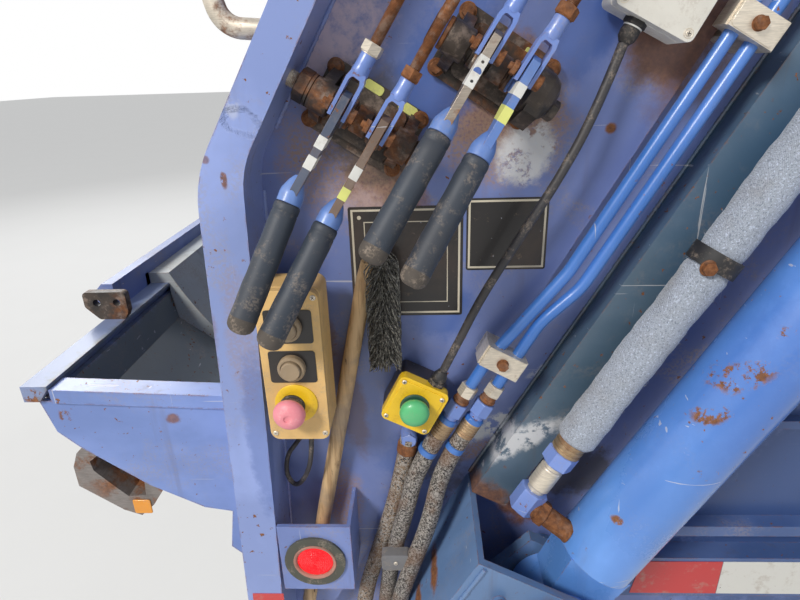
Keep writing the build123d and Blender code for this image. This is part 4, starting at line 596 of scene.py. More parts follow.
# Spots: centre, radii, tilt in degrees, kind, strength
wall_spots = [
    (at(214, 0, 1412), (70, 60, 62), -33, "rust", 0.85), (at(176, 0, 1448), (120, 60, 95), -33, "film", 0.75),
    (at(205, 0, 1490), (90, 60, 80), -33, "grime", 0.75), (at(353, 0, 1520), (85, 60, 80), -33, "rust", 0.8),
    (at(350, 0, 1500), (110, 60, 100), -33, "film", 0.8), (at(386, 0, 1452), (40, 60, 46), -20, "white", 0.9),
    (at(64, 0, 1577), (48, 60, 62), -33, "film", 0.5), (at(562, 0, 1572), (92, 60, 74), -27, "rust", 0.9),
    (at(575, 0, 1560), (120, 60, 100), -27, "stain", 0.5), (slope(176, 190), (24, 90, 95), -61, "white", 1.0),
    (slope(300, 176), (11, 90, 46), -61, "white", 0.8), (slope(120, 196), (20, 90, 60), -61, "film", 0.8),
    (at(485, 0, 1479), (8, 20, 8), 0, "rust", 1.0), (at(490, 0, 1387), (9, 20, 12), 0, "rust", 1.0),
    (at(131, 0, 920), (36, 60, 90), 0, "film", 0.7), (at(150, 0, 1105), (26, 60, 120), 8, "stain", 0.55),
    (at(118, 0, 1205), (22, 60, 60), 0, "stain", 0.7), (slope(70, 76, 35), (52, 90, 60), 0, "rust", 0.9),
    (slope(160, 40, 35), (90, 90, 60), 0, "grime", 0.8), (at(285, 0, 960), (60, 60, 130), 14, "grime", 0.7),
    (at(282, 0, 1245), (60, 60, 50), 0, "fresh", 0.8), (at(260, 0, 1000), (90, 60, 60), 0, "fresh", 0.7),
    (at(30, 0, 1150), (30, 60, 160), 0, "fresh", 0.7), (at(290, 0, 1555), (60, 60, 110), -27, "fresh", 0.9),
    # The worn spots are partly wear, partly painted light
    (at(168, 0, 1586), (62, 60, 92), -27, "worn", 0.8), (at(180, 0, 1395), (70, 60, 30), -27, "worn", 0.35),
    # The deep spot darkens the lower wall below the packing cylinder: painted shade
    (at(455, 0, 1600), (50, 60, 90), -27, "fresh", 0.8), (at(900, 35, 860), (330, 90, 330), 0, "deep", 0.9)]
post_spots = [
    (at(67, -80, 1504), (26, 26, 17), -20, "dent", 1.0), (at(60, -80, 1520), (10, 30, 16), 0, "white", 0.35),
    (at(40, -80, 1443), (5, 30, 13), 0, "specks", 0.9), (at(22, -80, 1465), (6, 30, 6), 0, "rust", 0.7),
    (at(32, -80, 1240), (26, 30, 120), 0, "film", 0.35), (at(40, -80, 1100), (26, 30, 160), 0, "fresh", 0.5),
    (at(-2, -40, 1262), (12, 60, 60), 0, "rust", 0.5)]
trough_spots = [(at(-120, 0, 1075), (14, 60, 12), 0, "rust", 0.8),
                (at(-285, 0, 1080), (11, 60, 15), 0, "specks", 0.9)]
lip_spots = [(at(-330, 1100, 1128), (46, 3000, 34), 0, "rim", 0.95),
             (at(-318, 0, 1118), (20, 90, 14), 0, "specks", 1.0)]
cylinder_spots = [(slope(s, n, -122), (width, 60, depth), -61, "specks", 1.0)
                  for s, n, width, depth in ((448, 44, 17, 58), (392, 40, 12, 26), (520, 38, 9, 12),
                                             (204, 40, 7, 9))]
track_spots = [(slope(176, 178), (24, 90, 120), -61, "white", 0.9),
               (slope(60, 160), (60, 90, 60), -61, "rust", 0.8)]
foot_spots = [(slope(-40, 178, -60), (10, 60, 20), -61, "rust", 1.0),
              (slope(-90, 178, -90), (8, 60, 26), -61, "rust", 1.0),
              (slope(0, 120, -140), (26, 20, 60), -61, "rust", 0.6),
              (slope(40, 60, -134), (60, 20, 50), 0, "stain", 0.5)]

# Paints: name, colour, fresh colour, wear, grime, film, gloss, dents, edge, spots, clear coat
PAINTS = [
    ("wall_paint", LAVENDER, BLUE, 0.5, 0.45, 0.55, 0.40, 0.55, 3.0, wall_spots),
    # The post's paint is lighter than the wall's; part of that is a painted highlight
    ("post_paint", (0.225, 0.30, 0.60), BLUE, 0.6, 0.35, 0.35, 0.34, 0.8, 4.0, post_spots, 0.35),
    ("frame_paint", (0.145, 0.205, 0.47), BLUE, 0.5, 0.5, 0.45, 0.42, 0.6, 3.5),
    ("trough_paint", (0.145, 0.225, 0.51), (0.085, 0.17, 0.45), 0.8, 0.4, 0.3, 0.38, 0.5, 6.0, trough_spots),
    ("cylinder_paint", (0.105, 0.275, 0.69), (0.07, 0.18, 0.56), 0.5, 0.2, 0.08, 0.26, 0.15, 3.0,
     cylinder_spots, 0.5),
    ("tube_paint", (0.040, 0.155, 0.49), (0.032, 0.12, 0.43), 0.5, 0.2, 0.04, 0.28, 0.1, 0, (), 0.45),
    ("fitting_paint", (0.15, 0.24, 0.58), (0.09, 0.18, 0.55), 0.6, 0.2, 0.25, 0.34, 0.1, 1.2, (), 0.4),
    ("lever_paint", (0.10, 0.20, 0.50), (0.05, 0.12, 0.38), 0.9, 0.5, 0.2, 0.36, 0.1, 1.6, (), 0.3),
    ("track_paint", (0.060, 0.105, 0.155), (0.05, 0.13, 0.26), 0.8, 0.6, 0.25, 0.34, 0.3, 4.0, track_spots,
     0.4),
    ("foot_paint", (0.10, 0.19, 0.37), (0.16, 0.23, 0.50), 0.9, 0.6, 0.3, 0.42, 0.4, 3.0, foot_spots),
    ("packer_paint", (0.12, 0.15, 0.24), (0.07, 0.10, 0.20), 1.0, 0.9, 0.7, 0.55, 0.8, 6.0),
    ("hood_paint", (0.18, 0.23, 0.48), BLUE, 0.5, 0.6, 0.4, 0.42, 0.9, 5.0),
    # The rails' paint is the hood's blue made much darker; the darkening is painted shade
    ("rail_paint", (0.055, 0.105, 0.265), DEEP_SHADE_BLUE, 0.6, 0.5, 0.3, 0.42, 0.7, 4.0),
    ("trough_steel", (0.15, 0.175, 0.19), (0.14, 0.19, 0.29), 0.9, 0.6, 0.5, 0.5, 0.5, 5.0, lip_spots),
    ("sill_steel", (0.40, 0.43, 0.44), (0.22, 0.27, 0.37), 0.9, 0.6, 0.5, 0.5, 0.5, 5.0),
    ("bar_slate", (0.050, 0.068, 0.115), (0.045, 0.12, 0.36), 1.0, 0.6, 0.2, 0.38, 0.1, 2.2, (), 0.2),
    ("bar_brown", (0.13, 0.085, 0.062), (0.05, 0.075, 0.14), 1.0, 0.6, 0.3, 0.5, 0.1, 2.2, (), 0.1)]

# Steels: name, colour, roughness, rust, grime, scratches along each axis, metal
STEELS = [
    ("floor_steel", (0.30, 0.31, 0.33), 0.34, 0.45, 0.5, (1, 14, 1)),
    ("rod_chrome", (0.72, 0.73, 0.75), 0.12, 0.0, 0.12, (1, 1, 1)),
    ("zinc", (0.60, 0.54, 0.45), 0.44, 0.35, 0.30, (1, 1, 12), 0.55),
    ("latch_iron", (0.20, 0.18, 0.17), 0.6, 0.7, 0.45, (1, 1, 6), 0.3),
    ("ferrule_tan", (0.36, 0.26, 0.16), 0.55, 0.55, 0.4),
    ("bar_rubbed", (0.30, 0.26, 0.22), 0.42, 0.5, 0.4)]

# Rusty castings, bolts and rods: name, pale dust, dark grease
CASTINGS = [
    ("old_iron", 0.55, 0.95),
    ("bolt_rust", 0.25, 0.12),
    ("black_iron", 0.25, 1.0),
    ("nut_orange", 0.10, 0.05),
    ("rod_rust", 0.60, 0.20)]

# Plastics and rubbers: name, colour, roughness, dirt, grain, edge, clear coat, dust
PLASTICS = [
    ("rubber", (0.016, 0.016, 0.018), 0.6, 0.5, 0.06),
    ("grip_rubber", (0.030, 0.040, 0.058), 0.55, 0.35, 0.06, 1.5),
    ("cream_plastic", (0.71, 0.69, 0.63), 0.45, 0.25, 0.05, 2.0),
    ("tan_plastic", (0.76, 0.49, 0.19), 0.48, 0.35, 0.06, 1.6),
    ("cap_plastic", (0.33, 0.245, 0.155), 0.5, 0.4, 0.05),
    ("yellow_plastic", (0.86, 0.55, 0.015), 0.42, 0.22, 0.03, 2.0, 0.1, (0.32, 0.11, 0.02)),
    ("green_plastic", (0.10, 0.50, 0.20), 0.38, 0.12, 0.02, 1.2, 0.2),
    ("faded_red_plastic", (0.86, 0.28, 0.33), 0.45, 0.35, 0.03, 1.5, 0.0, (0.9, 0.62, 0.62)),
    ("dark_green_plastic", (0.010, 0.070, 0.045), 0.45, 0.3, 0.03, 1.0, 0.1, (0.40, 0.16, 0.04)),
    ("grip_worn", (0.085, 0.072, 0.062), 0.75, 0.6, 0.10, 0),
    ("rubber_grey", (0.20, 0.20, 0.21), 0.6, 0.4, 0.06),
    ("lamp_rim", (0.46, 0.22, 0.17), 0.6, 0.6, 0.10, 0),
    ("cable_rubber", (0.040, 0.038, 0.042), 0.5, 0.5, 0.04, 0),
    ("amber_plastic", (0.80, 0.30, 0.01), 0.2, 0.2, 0.02, 0, 0.6),
    ("grommet_olive", (0.075, 0.078, 0.062), 0.7, 0.5, 0.08),
    ("sticker_white", (0.74, 0.74, 0.71), 0.45, 0.3, 0.02, 0),
    ("sticker_yellow", (0.72, 0.74, 0.22), 0.5, 0.25, 0.02, 0),
    ("sticker_blue", (0.05, 0.13, 0.42), 0.45, 0.2, 0.02, 0)]

for make, rows in ((painted, PAINTS), (steel, STEELS), (rusty, CASTINGS), (moulded, PLASTICS)):
    for row in rows:
        make(*row)
lens_red()
wood()
bristle()
woven("sleeve_cloth", (0.44, 0.49, 0.58), (0.15, 0.19, 0.28), 230, 0.62)
hose_skin("hose_cover", (0.105, 0.092, 0.082))
hose_skin("hose_cover_tan", (0.22, 0.15, 0.095))
reflective("tape_red", (0.60, 0.03, 0.03))
reflective("tape_white", (0.74, 0.73, 0.68))
decal("decal_dark", (0.014, 0.012, 0.012), 0.25)
decal("decal_line", (0.62, 0.56, 0.44), 0.3)

# Cords
station_cable = curve("station_cable_line", [
    at(475.4, -40, 1569.2), at(452, -45, 1500), at(414, -50, 1425), at(368, -49, 1348), at(330, -45, 1278),
    at(306, -42, 1222), at(285, -40, 1175.8)], 5.5, "cable_rubber", "station_cable")
lamp_cable = curve("lamp_cable_line", [
    at(104, -62, 1109.6), at(101, -58, 1055), at(84, -40, 1000), at(62, -26, 968), at(48, -22, 990),
    at(54, -20, 1025), at(66, -20, 1040), at(72, -1.2, 1042)], 3.5, "cable_rubber", "lamp_cable")
HOSE_END = 676.0
hose_routes = [
    [slope(157.8, 284, -30), slope(94, 284, -30), at(228, -34, 926), at(208, -30, 850), at(192, -27, 748),
     at(186, -26, HOSE_END)],
    [slope(175.8, 252.5, -30), slope(112, 252.5, -30), at(264, -48, 918), at(236, -57, 845),
     at(208, -58, 748), at(200, -58, HOSE_END)],
    [at(236, -16, 1052), at(224, -16, 985), at(205, -20, 910), at(178, -24, 825), at(155, -28, 745),
     at(148, -28, HOSE_END)]]
hoses = [curve(f"feed_hose_{k + 1}", hose_routes[k], 13.0, skin, "feed_hoses")
         for k, skin in enumerate(("hose_cover", "hose_cover", "hose_cover_tan"))]

# Finishes on the CAD nodes
NODES = {
    "wall_paint": "right_side_wall", "post_paint": "rear_posts", "hood_paint": "hood",
    "rail_paint": "side_rails",
    "frame_paint": "left_side_wall seam_frame hinge_lugs lock_lugs sill_bumper lamp_brackets hose_bulkhead",
    "trough_paint": "trough_sides", "trough_steel": "rear_trough", "sill_steel": "raised_sill",
    "floor_steel": "hopper_floor", "track_paint": "carriage_tracks",
    "tube_paint": "steel_tubes link_rod_1 link_rod_2 link_rod_3 link_rod_4",
    "packer_paint": "carriage_sides carriage_panel cylinder_anchors sweep_panel",
    "cylinder_paint": "packing_barrels sweep_barrels", "rod_chrome": "packing_rods sweep_rods",
    "foot_paint": "cylinder_feet", "old_iron": "lever_brackets valve_bank container_ears",
    "latch_iron": "latch_bracket", "tan_plastic": "button_station", "cap_plastic": "station_buttons",
    "faded_red_plastic": "stop_button", "yellow_plastic": "start_box", "green_plastic": "start_button",
    "cream_plastic": "junction_box", "fitting_paint": "line_fittings", "zinc": "tube_clamps grab_handle",
    "rubber": "sleeve_clamp", "sleeve_cloth": "sleeved_line", "weathered_wood": "broom_handle",
    "bristle_fibre": "broom_bristles", "grommet_olive": "lamp_grommets", "lamp_red": "tail_lamps",
    "lever_paint": "lever_1 lever_2 lever_3 lever_4",
    "grip_rubber": "lever_grip_1 lever_grip_2 lever_grip_3 lever_grip_4"}
for finish, names in NODES.items():
    for name in names.split():
        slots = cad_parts[name].data.materials
        slots.clear()
        slots.append(finishes[finish])

# From here on, f is the form that a function builds

# Levers: the frame of each runs along its rod, outward, and along the shaft
LEVER_BARS = [(100.0, 20.0), (100.0, 8.0), (84.0, 0.0), (84.0, 3.0)]
NECK_OUT = 78.0
GRIP_OUT = 128.0
GRIP_REACH = 138.0
LINK_ALONG = 5.0
LINK_OUT = 50.0
ROD_TOP = 780.0
BAR_FINISH = ["bar_slate", "bar_brown", "bar_rubbed", "lever_paint"]
# Rod's paint and lock nut's finish, for each link rod
LINK_FINISH = [("tube_paint", "zinc"), ("rod_rust", "nut_orange"), ("fitting_paint", "zinc"),
               ("rod_rust", "nut_orange")]
# Stickers on each lever's bar: from, to, finish
BANDS = [[(-24, -37, "sticker_white"), (-46, -60, "sticker_white")],
         [(-32, -46, "sticker_white"), (-56, -69, "sticker_yellow")], [(-2, -34, "sticker_white")],
         [(-4, -17, "sticker_white"), (-29, -45, "sticker_yellow")]]


def ribs(low, pitch, count, shape):
    """Profile in which a shape of (height, radius) pairs repeats."""
    return [(low + pitch * k + height, radius) for k in range(count) for height, radius in shape]


def grip_ends(index):
    bar_to, aside = LEVER_BARS[index]
    return (lever_at(index, -bar_to - 2, NECK_OUT),
            lever_at(index, -bar_to - GRIP_REACH, GRIP_OUT, aside))


def lever_piece(index):
    bar_to = LEVER_BARS[index][0]
    body = f"lever_{index + 1}"
    pivot, pin = lever_at(index, 0, 0), lever_at(index, LINK_ALONG, LINK_OUT)
    f = Form(body + "_bar")
    f.turned(pivot, LEVER_V, "old_iron", ([(-11, 15), (-10, 17.6), (10, 17.6), (11, 15)], 40),
             [(-12.5, 13), (12.5, 13)], BAR_FINISH[index])
    f.prism(pivot, LEVER_U, LEVER_V,
            [(-14, 8), (-17, 38), (-bar_to + 6, NECK_OUT - 9), (-bar_to, NECK_OUT - 4),
             (-bar_to, NECK_OUT + 7), (-bar_to + 12, NECK_OUT + 8), (LINK_ALONG, 64),
             (LINK_ALONG + 15, 61), (LINK_ALONG + 20, 50), (15, 8)], 4.5, -4.5)
    for side in (-5, 5):
        f.tube([lever_at(index, 19 * cos(t) * 0.9, 12 + 8 * sin(t), side) for t in (0.2, 0.8, 1.5, 2.2, 2.9)],
               [1.8, 2.4, 2.0, 2.5, 1.8], 8)
    start, end = grip_ends(index)
    f.turned(start, start - end, "lever_paint", (
        [(-0.2, 12.6), (0, 13.2), (10, 13.2), (14, 12.6), (24, 8.6), (28, 6.2), (31, 4)], 40))
    f.turned(pin, LEVER_V, "bolt_rust", ([(-13.5, 5), (13.5, 5)], 20), (15.0, 11.0, 17.5, 0.3))
    f.turned(pin, -LEVER_V, (14.0, 11.0, 16.5, 0.7), ([(16, 3.8), (20, 3.8), (20.6, 3.0)], 14))
    f.lathe(pin, LEVER_V, [(10.2, 8.6), (11.2, 8.6)], 24)
    f.done("bar_steel", 0.9, [body], 34, body=body)

    def below(a):
        return 38 + (a + 17) / (-bar_to + 25) * 32

    def above(a):
        return 64 + (LINK_ALONG - a) / (LINK_ALONG + bar_to - 12) * 21.5

    for number, (high, low, tint) in enumerate(BANDS[index]):
        band = Form(f"{body}_band_{number + 1}").use(tint)
        foot = min(high, -14)
        band.prism(pivot, LEVER_U, LEVER_V,
                   [(low, below(low) - 0.5), (foot, below(foot) - 0.5 if high < -14 else 46),
                    (high, 48 if high >= -14 else below(high) - 0.5), (high, above(high) + 0.6),
                    (low, above(low) + 0.6)], 4.95, -4.95)
        if index == 2:
            band.turned(lever_at(2, -18, above(-18) + 0.2), OUT, "sticker_blue", ([(0, 4.2), (0.7, 4.2)], 24))
            for a in (-8, -28):
                band.turned(lever_at(2, a, above(a) + 0.2), OUT, "rubber", ([(0, 1.6), (0.8, 1.6)], 12))
        band.done("grey_plastic", 0.3, body=body)


def grip_piece(index):
    start, end = grip_ends(index)
    length = (end - start).length / MM
    worn_from = length - 17
    rubber_body = [(0.4, 12.2), (1.2, 13.4), (3, 14), (9, 14), (9.8, 13.5), (11, 13.5), (11.8, 14)]
    steps = 10
    for k in range(1, steps + 1):
        h = 11.8 + (worn_from - 11.8) * k / steps
        rubber_body.append((h, 14 + 0.9 * k / steps + 0.25 * sin(k * 1.9)))
    f = Form(f"lever_{index + 1}_grip")
    f.turned(start, end - start, "grip_rubber", (rubber_body, 48), "grip_worn",
             ([(worn_from, 14.9), (length - 12, 15), (length - 7, 14.3), (length - 3.5, 12.2),
               (length - 1.2, 9.2), (length, 6.0)], 48))
    f.done("grip_rubber", 0, [f"lever_grip_{index + 1}"], 50, body=f"lever_{index + 1}")


def rod_piece(index):
    top = ROD_TOP - index // 2 * LEVER_STEP
    low = LINK_ALONG - 9
    paint, nut_finish = LINK_FINISH[index]
    place = lever_at(index, 0, 0)
    body = f"link_rod_{index + 1}"
    f = Form(body + "_assembly").use("fitting_paint")
    f.prism(place, LEVER_V, OUT,
            [(-10, low), (-10, 38), (-8.8, 42), (-8, 46), (8, 46), (8.8, 42), (10, 38), (10, low), (6, low),
             (6, 36), (4.4, 39.4), (-3, 40), (-4.4, 39.4), (-6, 36), (-6, low)], LINK_OUT + 8, LINK_OUT - 8)
    f.turned(lever_at(index, 0, LINK_OUT), LEVER_U,
             ([(41, 5), (43, 8.6), (46, 9.4), (50, 8.8), (54, 8.4), (64, 8.4), (65.5, 7.8)], 36),
             nut_finish, (19.0, 66.0, 77.0, 0.35 + 0.2 * index), ([(65.2, 9.2), (66.2, 9.2)], 24),
             "rod_rust", (ribs(76, 1.25, 42, [(0, 5.2), (0.45, 6.0), (0.75, 6.0), (1.2, 5.2)]), 24),
             paint, ([(127.5, 5.6), (129, 6.1), (top - 14, 6.1)], 28), "fitting_paint")
    f.prism(place + LEVER_U * (top * MM), LEVER_V, OUT,
            [(-10, -16), (-10, 12), (-6, 16), (6, 16), (10, 12), (10, -16)], LINK_OUT + 9, LINK_OUT - 9)
    f.done("bar_steel", 1.4, [body], 34, 3, body)


def bracket_piece(pair):
    first = 2 * pair
    pitch = LEVER_PITCH
    centre, middle = lever_at(first, 0, 0), lever_at(first, 0, 0, pitch / 2)
    f = Form(f"lever_bracket_{pair + 1}")
    f.turned(centre, LEVER_V, "old_iron", ([(-44, 11), (pitch + 44, 11)], 28),
             [(13, 15), (14, 16), (pitch - 14, 16), (pitch - 13, 15)])
    boss = [(-34, -39), (-30, -20), (-19, 4),
            *((19 * cos(radians(t)), 19 * sin(radians(t))) for t in range(165, 10, -15)),
            (19, 4), (30, -20), (34, -39)]
    for aside in (-28, pitch + 28):
        end = lever_at(first, 0, 0, aside)
        f.prism(end, LEVER_U, LEVER_V, boss, 6.5, -6.5)
        f.lathe(end, LEVER_V, [(-13, 17), (-11.5, 19), (11.5, 19), (13, 17)], 36)
    f.slab(middle, LEVER_U, (84, pitch + 84, 8), -37, -45)
    f.slab(middle, LEVER_U, (62, pitch + 40, 9), -23, -38)
    f.slab(lever_at(first, 2, 0, pitch / 2), LEVER_U, (26, pitch + 20, 7), -19.5, -24)
    f.use("bolt_rust")
    for a in (-33, 33):
        for b in (-34, pitch + 34):
            f.bolt(lever_at(first, a, -37, b), OUT, 13, 6, 10)
    if pair == 0:
        f.turned(centre, -LEVER_V, "black_iron", (34, 44, 58, 0.2), [(41, 19), (44, 19)], "zinc",
                 (ribs(57, 1.75, 10, [(0, 8.6), (0.6, 9.6), (1.0, 9.6), (1.6, 8.6)]) + [(74.5, 7.4)], 28))
        f.turned(centre, LEVER_V, "black_iron", (30, pitch + 42, pitch + 52, 0.5))
        tags = [(36, 15, (24, 11, 4)), (36, 15 + pitch, (24, 11, 4))]
    else:
        for low, r in ((41, 18), (48, 21), (55, 19)):
            f.turned(centre, -LEVER_V, "bolt_rust",
                     ([(low, r - 1), (low + 1, r), (low + 4.6, r), (low + 5.4, r - 1)], 40))
        f.turned(centre, LEVER_V, "black_iron", ([(pitch + 14, 20), (pitch + 18, 26), (pitch + 34, 27),
                                                (pitch + 44, 22), (pitch + 48, 15)], 36))
        f.prism(lever_at(first, -14, 0, pitch + 30), LEVER_U, LEVER_V,
                [(-22, -38), (-26, -4), (-8, 22), (14, 22), (26, 2), (36, -38)], 9, -9)
        f.hexagon(lever_at(first, -6, 0), LEVER_V, 21, pitch + 46, pitch + 57, 0.1)
        tags = [(34, 2 + pitch, (10, 7, 2))]
    f.done("rusty_steel", 1.2, ["lever_brackets"], 34, 3)
    tag = Form(f"bracket_tag_{pair + 1}").use("sticker_yellow")
    for along, aside, size in tags:
        tag.slab(lever_at(first, along, 0, aside), LEVER_V, size, -36, -37.2)
    tag.done("grey_plastic", 0.3)


for lever_number in range(4):
    lever_piece(lever_number)
    grip_piece(lever_number)
    rod_piece(lever_number)
bracket_piece(0)
bracket_piece(1)


# Button station, start box and junction box; both boxes are tilted alike
BOX_TILT = radians(-27)
BOX_RIGHT = Vector((cos(BOX_TILT), 0, sin(BOX_TILT)))
BOX_UP = Vector((-sin(BOX_TILT), 0, cos(BOX_TILT)))


def station_piece():
    f = Form("station_housing").use("tan_plastic")
    for size, height, foot in (((77, 207, 12, 8), -14, -62), ((75.6, 205.6, 11.5, 8), -12.6, -14),
                               ((77, 207, 12, 8), 0, -12.6), ((49, 159, 6, 6), -62, -100)):
        f.slab(at(98.5, -100, 1213.5), FORWARD, size, height, foot)
    f.done("station_plastic", 2.4, ["button_station"], 40, 4)
    fittings = Form("station_fittings")
    for x, z in ((66.5, 1120), (131, 1120), (66.5, 1308), (131, 1308)):
        fittings.screw(at(x, -100, z), OUT, 3.6, rng.uniform(0, 3))
    fittings.use("decal_dark")
    buttons = Form("station_push_buttons")
    for z in (1271, 1217):
        fittings.slab(at(98.5, -100, z), FORWARD, (58, 44, 4, 4), 0.9)
        buttons.turned(at(98, -100, z), OUT, "cap_plastic",
                       ([(0.5, 17), (7.5, 17), (9.6, 15.6), (10, 13.4), (8.2, 13.2), (8.2, 12.4)], 44),
                       ([(7, 12), (13.4, 12), (14.6, 11), (14.2, 7), (13.7, 2), (13.7, 0.1)], 44))
    fittings.turned(at(104, -62, 1110), -UP, "rubber", ([(-1, 8), (5, 8), (6, 7), (13, 5.4), (14, 4.6)], 24))
    fittings.done("grey_plastic", 0.3, (), 40)
    buttons.done("grey_plastic", 0, ["station_buttons"], 32)
    head = Form("stop_head")
    head.turned(at(93, -100, 1162), OUT, "rubber",
                ([(0.4, 16), (4, 16), (5, 14.6), (15, 14.2), (15.5, 12)], 40), "faded_red_plastic",
                ([(15, 9), (17.5, 18.4), (19, 19.8), (22, 20), (25.5, 19.2), (28.5, 17), (31, 13.6),
                  (32.6, 9.6), (33.2, 6.5), (32.9, 5), (31.6, 4.4), (31.2, 2), (31.2, 0.1)], 56))
    head.done("faded_red_plastic", 0, ["stop_button"], 45)
    ring = Form("stop_ring")
    ring.turned(at(98, -100, 1165), OUT, "yellow_plastic",
                ([(0, 27), (1.6, 27), (2.2, 26.2), (2.2, 17.4), (1.6, 17)], 56))
    ring.done("yellow_plastic", 0, (), 40)


def start_piece():
    centre = at(246, -56, 1130)
    f = Form("start_housing")
    for finish, size, height, foot in (
            ("yellow_plastic", (72, 72, 9, 8), 0, -16), ("decal_dark", (71, 71, 8.5, 8), -17, -50),
            ("decal_dark", (52, 52, 5, 5), -50, -56), ("rubber", (71.4, 71.4, 8.6, 8), -15.9, -17.2),
            ("yellow_plastic", (62, 62, 7, 8), 1.4, 0)):
        f.use(finish).slab(centre, BOX_RIGHT, size, height, foot)
    f.turned(at(246, -40, 1130) + BOX_RIGHT * 0.014 + BOX_UP * 0.035, BOX_UP, "rubber", (22, 0, 8, 0.2),
             [(7, 9.6), (9, 10), (15, 10), (17, 9), (21.5, 7), (23, 6.2)])
    f.done("yellow_plastic", 2.0, ["start_box"], 38, 4)
    screws = Form("start_screws")
    for a, b in ((-29, 29), (-29, -29), (29, -29), (28, 26)):
        screws.screw(centre + (BOX_RIGHT * a + BOX_UP * b) * MM + OUT * 0.0013, OUT, 3.2, rng.uniform(0, 3))
    screws.done("grey_plastic")
    head = Form("start_head")
    head.turned(centre, OUT, "dark_green_plastic",
                ([(1.2, 20), (3.2, 20), (4, 19), (4.2, 15), (9, 14.4), (9.5, 12)], 44), "green_plastic",
                ([(9, 8), (11.6, 17.6), (13, 19.4), (15.6, 20), (19, 19.2), (22.5, 16.6), (25, 12.4),
                  (26.4, 7.2), (27, 2), (27, 0.1)], 56))
    head.done("green_plastic", 0, ["start_button"], 45)


def junction_piece():
    centre = at(521, -12, 1637)
    f = Form("junction_housing")
    for finish, size, height, foot in (
            ("cream_plastic", (92, 114, 7, 6), 33, 0), ("decal_dark", (90, 112, 6.4, 6), 34.2, 32.8),
            ("cream_plastic", (92, 114, 7, 6), 50, 34), ("cream_plastic", (60, 84, 4, 4), 0, -12)):
        f.use(finish).slab(centre, BOX_RIGHT, size, height, foot)
    f.done("cream_plastic", 2.6, ["junction_box"], 38, 4)
    fittings = Form("junction_fittings")
    for a, b in ((-38, -49), (38, -49), (-38, 49), (38, 49)):
        place = centre + (BOX_RIGHT * a + BOX_UP * b) * MM
        fittings.turned(place + OUT * 0.0498, OUT, "zinc",
                        ([(0, 5.2), (0.5, 5.2), (0.5, 4.2), (-0.3, 4.0)], 20))
        fittings.screw(place + OUT * 0.0493, OUT, 3.4, rng.uniform(0, 3))
    gland = at(521, -40, 1637) + (BOX_RIGHT * -10 + BOX_UP * -56) * MM
    fittings.turned(gland, -BOX_UP, "rubber", (22, 0, 7, 0.1), "sticker_white", [(7, 10.4), (8.6, 10.4)],
                    "rubber", [(8.4, 9.8), (14, 10.4), (20, 9.6), (23, 7.2), (25, 5.9)])
    fittings.done("grey_plastic", 0.3)


station_piece()
start_piece()
junction_piece()


# Blank decals and tape on the wall's face
def decal_piece(name, low_x, high_x, low_z, high_z, line_in, inner):
    place = at((low_x + high_x) / 2, 0, (low_z + high_z) / 2)
    width, height = high_x - low_x, high_z - low_z
    f = Form(name).use("decal_dark")
    f.slab(place, FORWARD, (width, height, 3, 3), 0.5)
    f.use("decal_line")
    for inset, thick in ((line_in, 2.6), (line_in + 16, 1.2))[:2 if inner else 1]:
        w, h = width / 2 - inset, height / 2 - inset
        for bar in ((-w, w, h - thick, h), (-w, w, -h, -h + thick), (-w, -w + thick, -h + thick, h - thick),
                    (w - thick, w, -h + thick, h - thick)):
            f.prism(place, FORWARD, OUT, box(*bar), 0.62, 0.3)
    for side in (-1, 1) if inner else ():
        f.lathe(at((low_x + high_x) / 2 + side * (width / 2 - 14), 0, high_z - 14), OUT,
                [(0.3, 2.6), (0.7, 2.6)], 16)
    f.done("grey_plastic")


def tape_pieces():
    f = Form("side_tape").use("tape_red")
    f.prism(at(0, -0.2, 0), FORWARD, OUT, [(600, 723), (742, 723), (742, 793), (612, 793)], 0.9)
    f.use("tape_white")
    for low, high in ((742, 892), (892, 1075)):
        f.prism(at(0, -0.2, 0), FORWARD, OUT, box(low + 1, high, 723, 793), 0.9)
    f.done("grey_plastic")
    post = Form("post_tape").use("tape_red")
    post.prism(at(0, -80, 0), FORWARD, OUT, [(-13, 739), (36, 739), (38, 809), (-10, 809)], 0.9)
    post.done("grey_plastic")


decal_piece("wall_decal_1", 165, 312, 1240, 1391, 3.5, True)
decal_piece("wall_decal_2", 316, 419, 1304, 1399, 2.5, False)
tape_pieces()


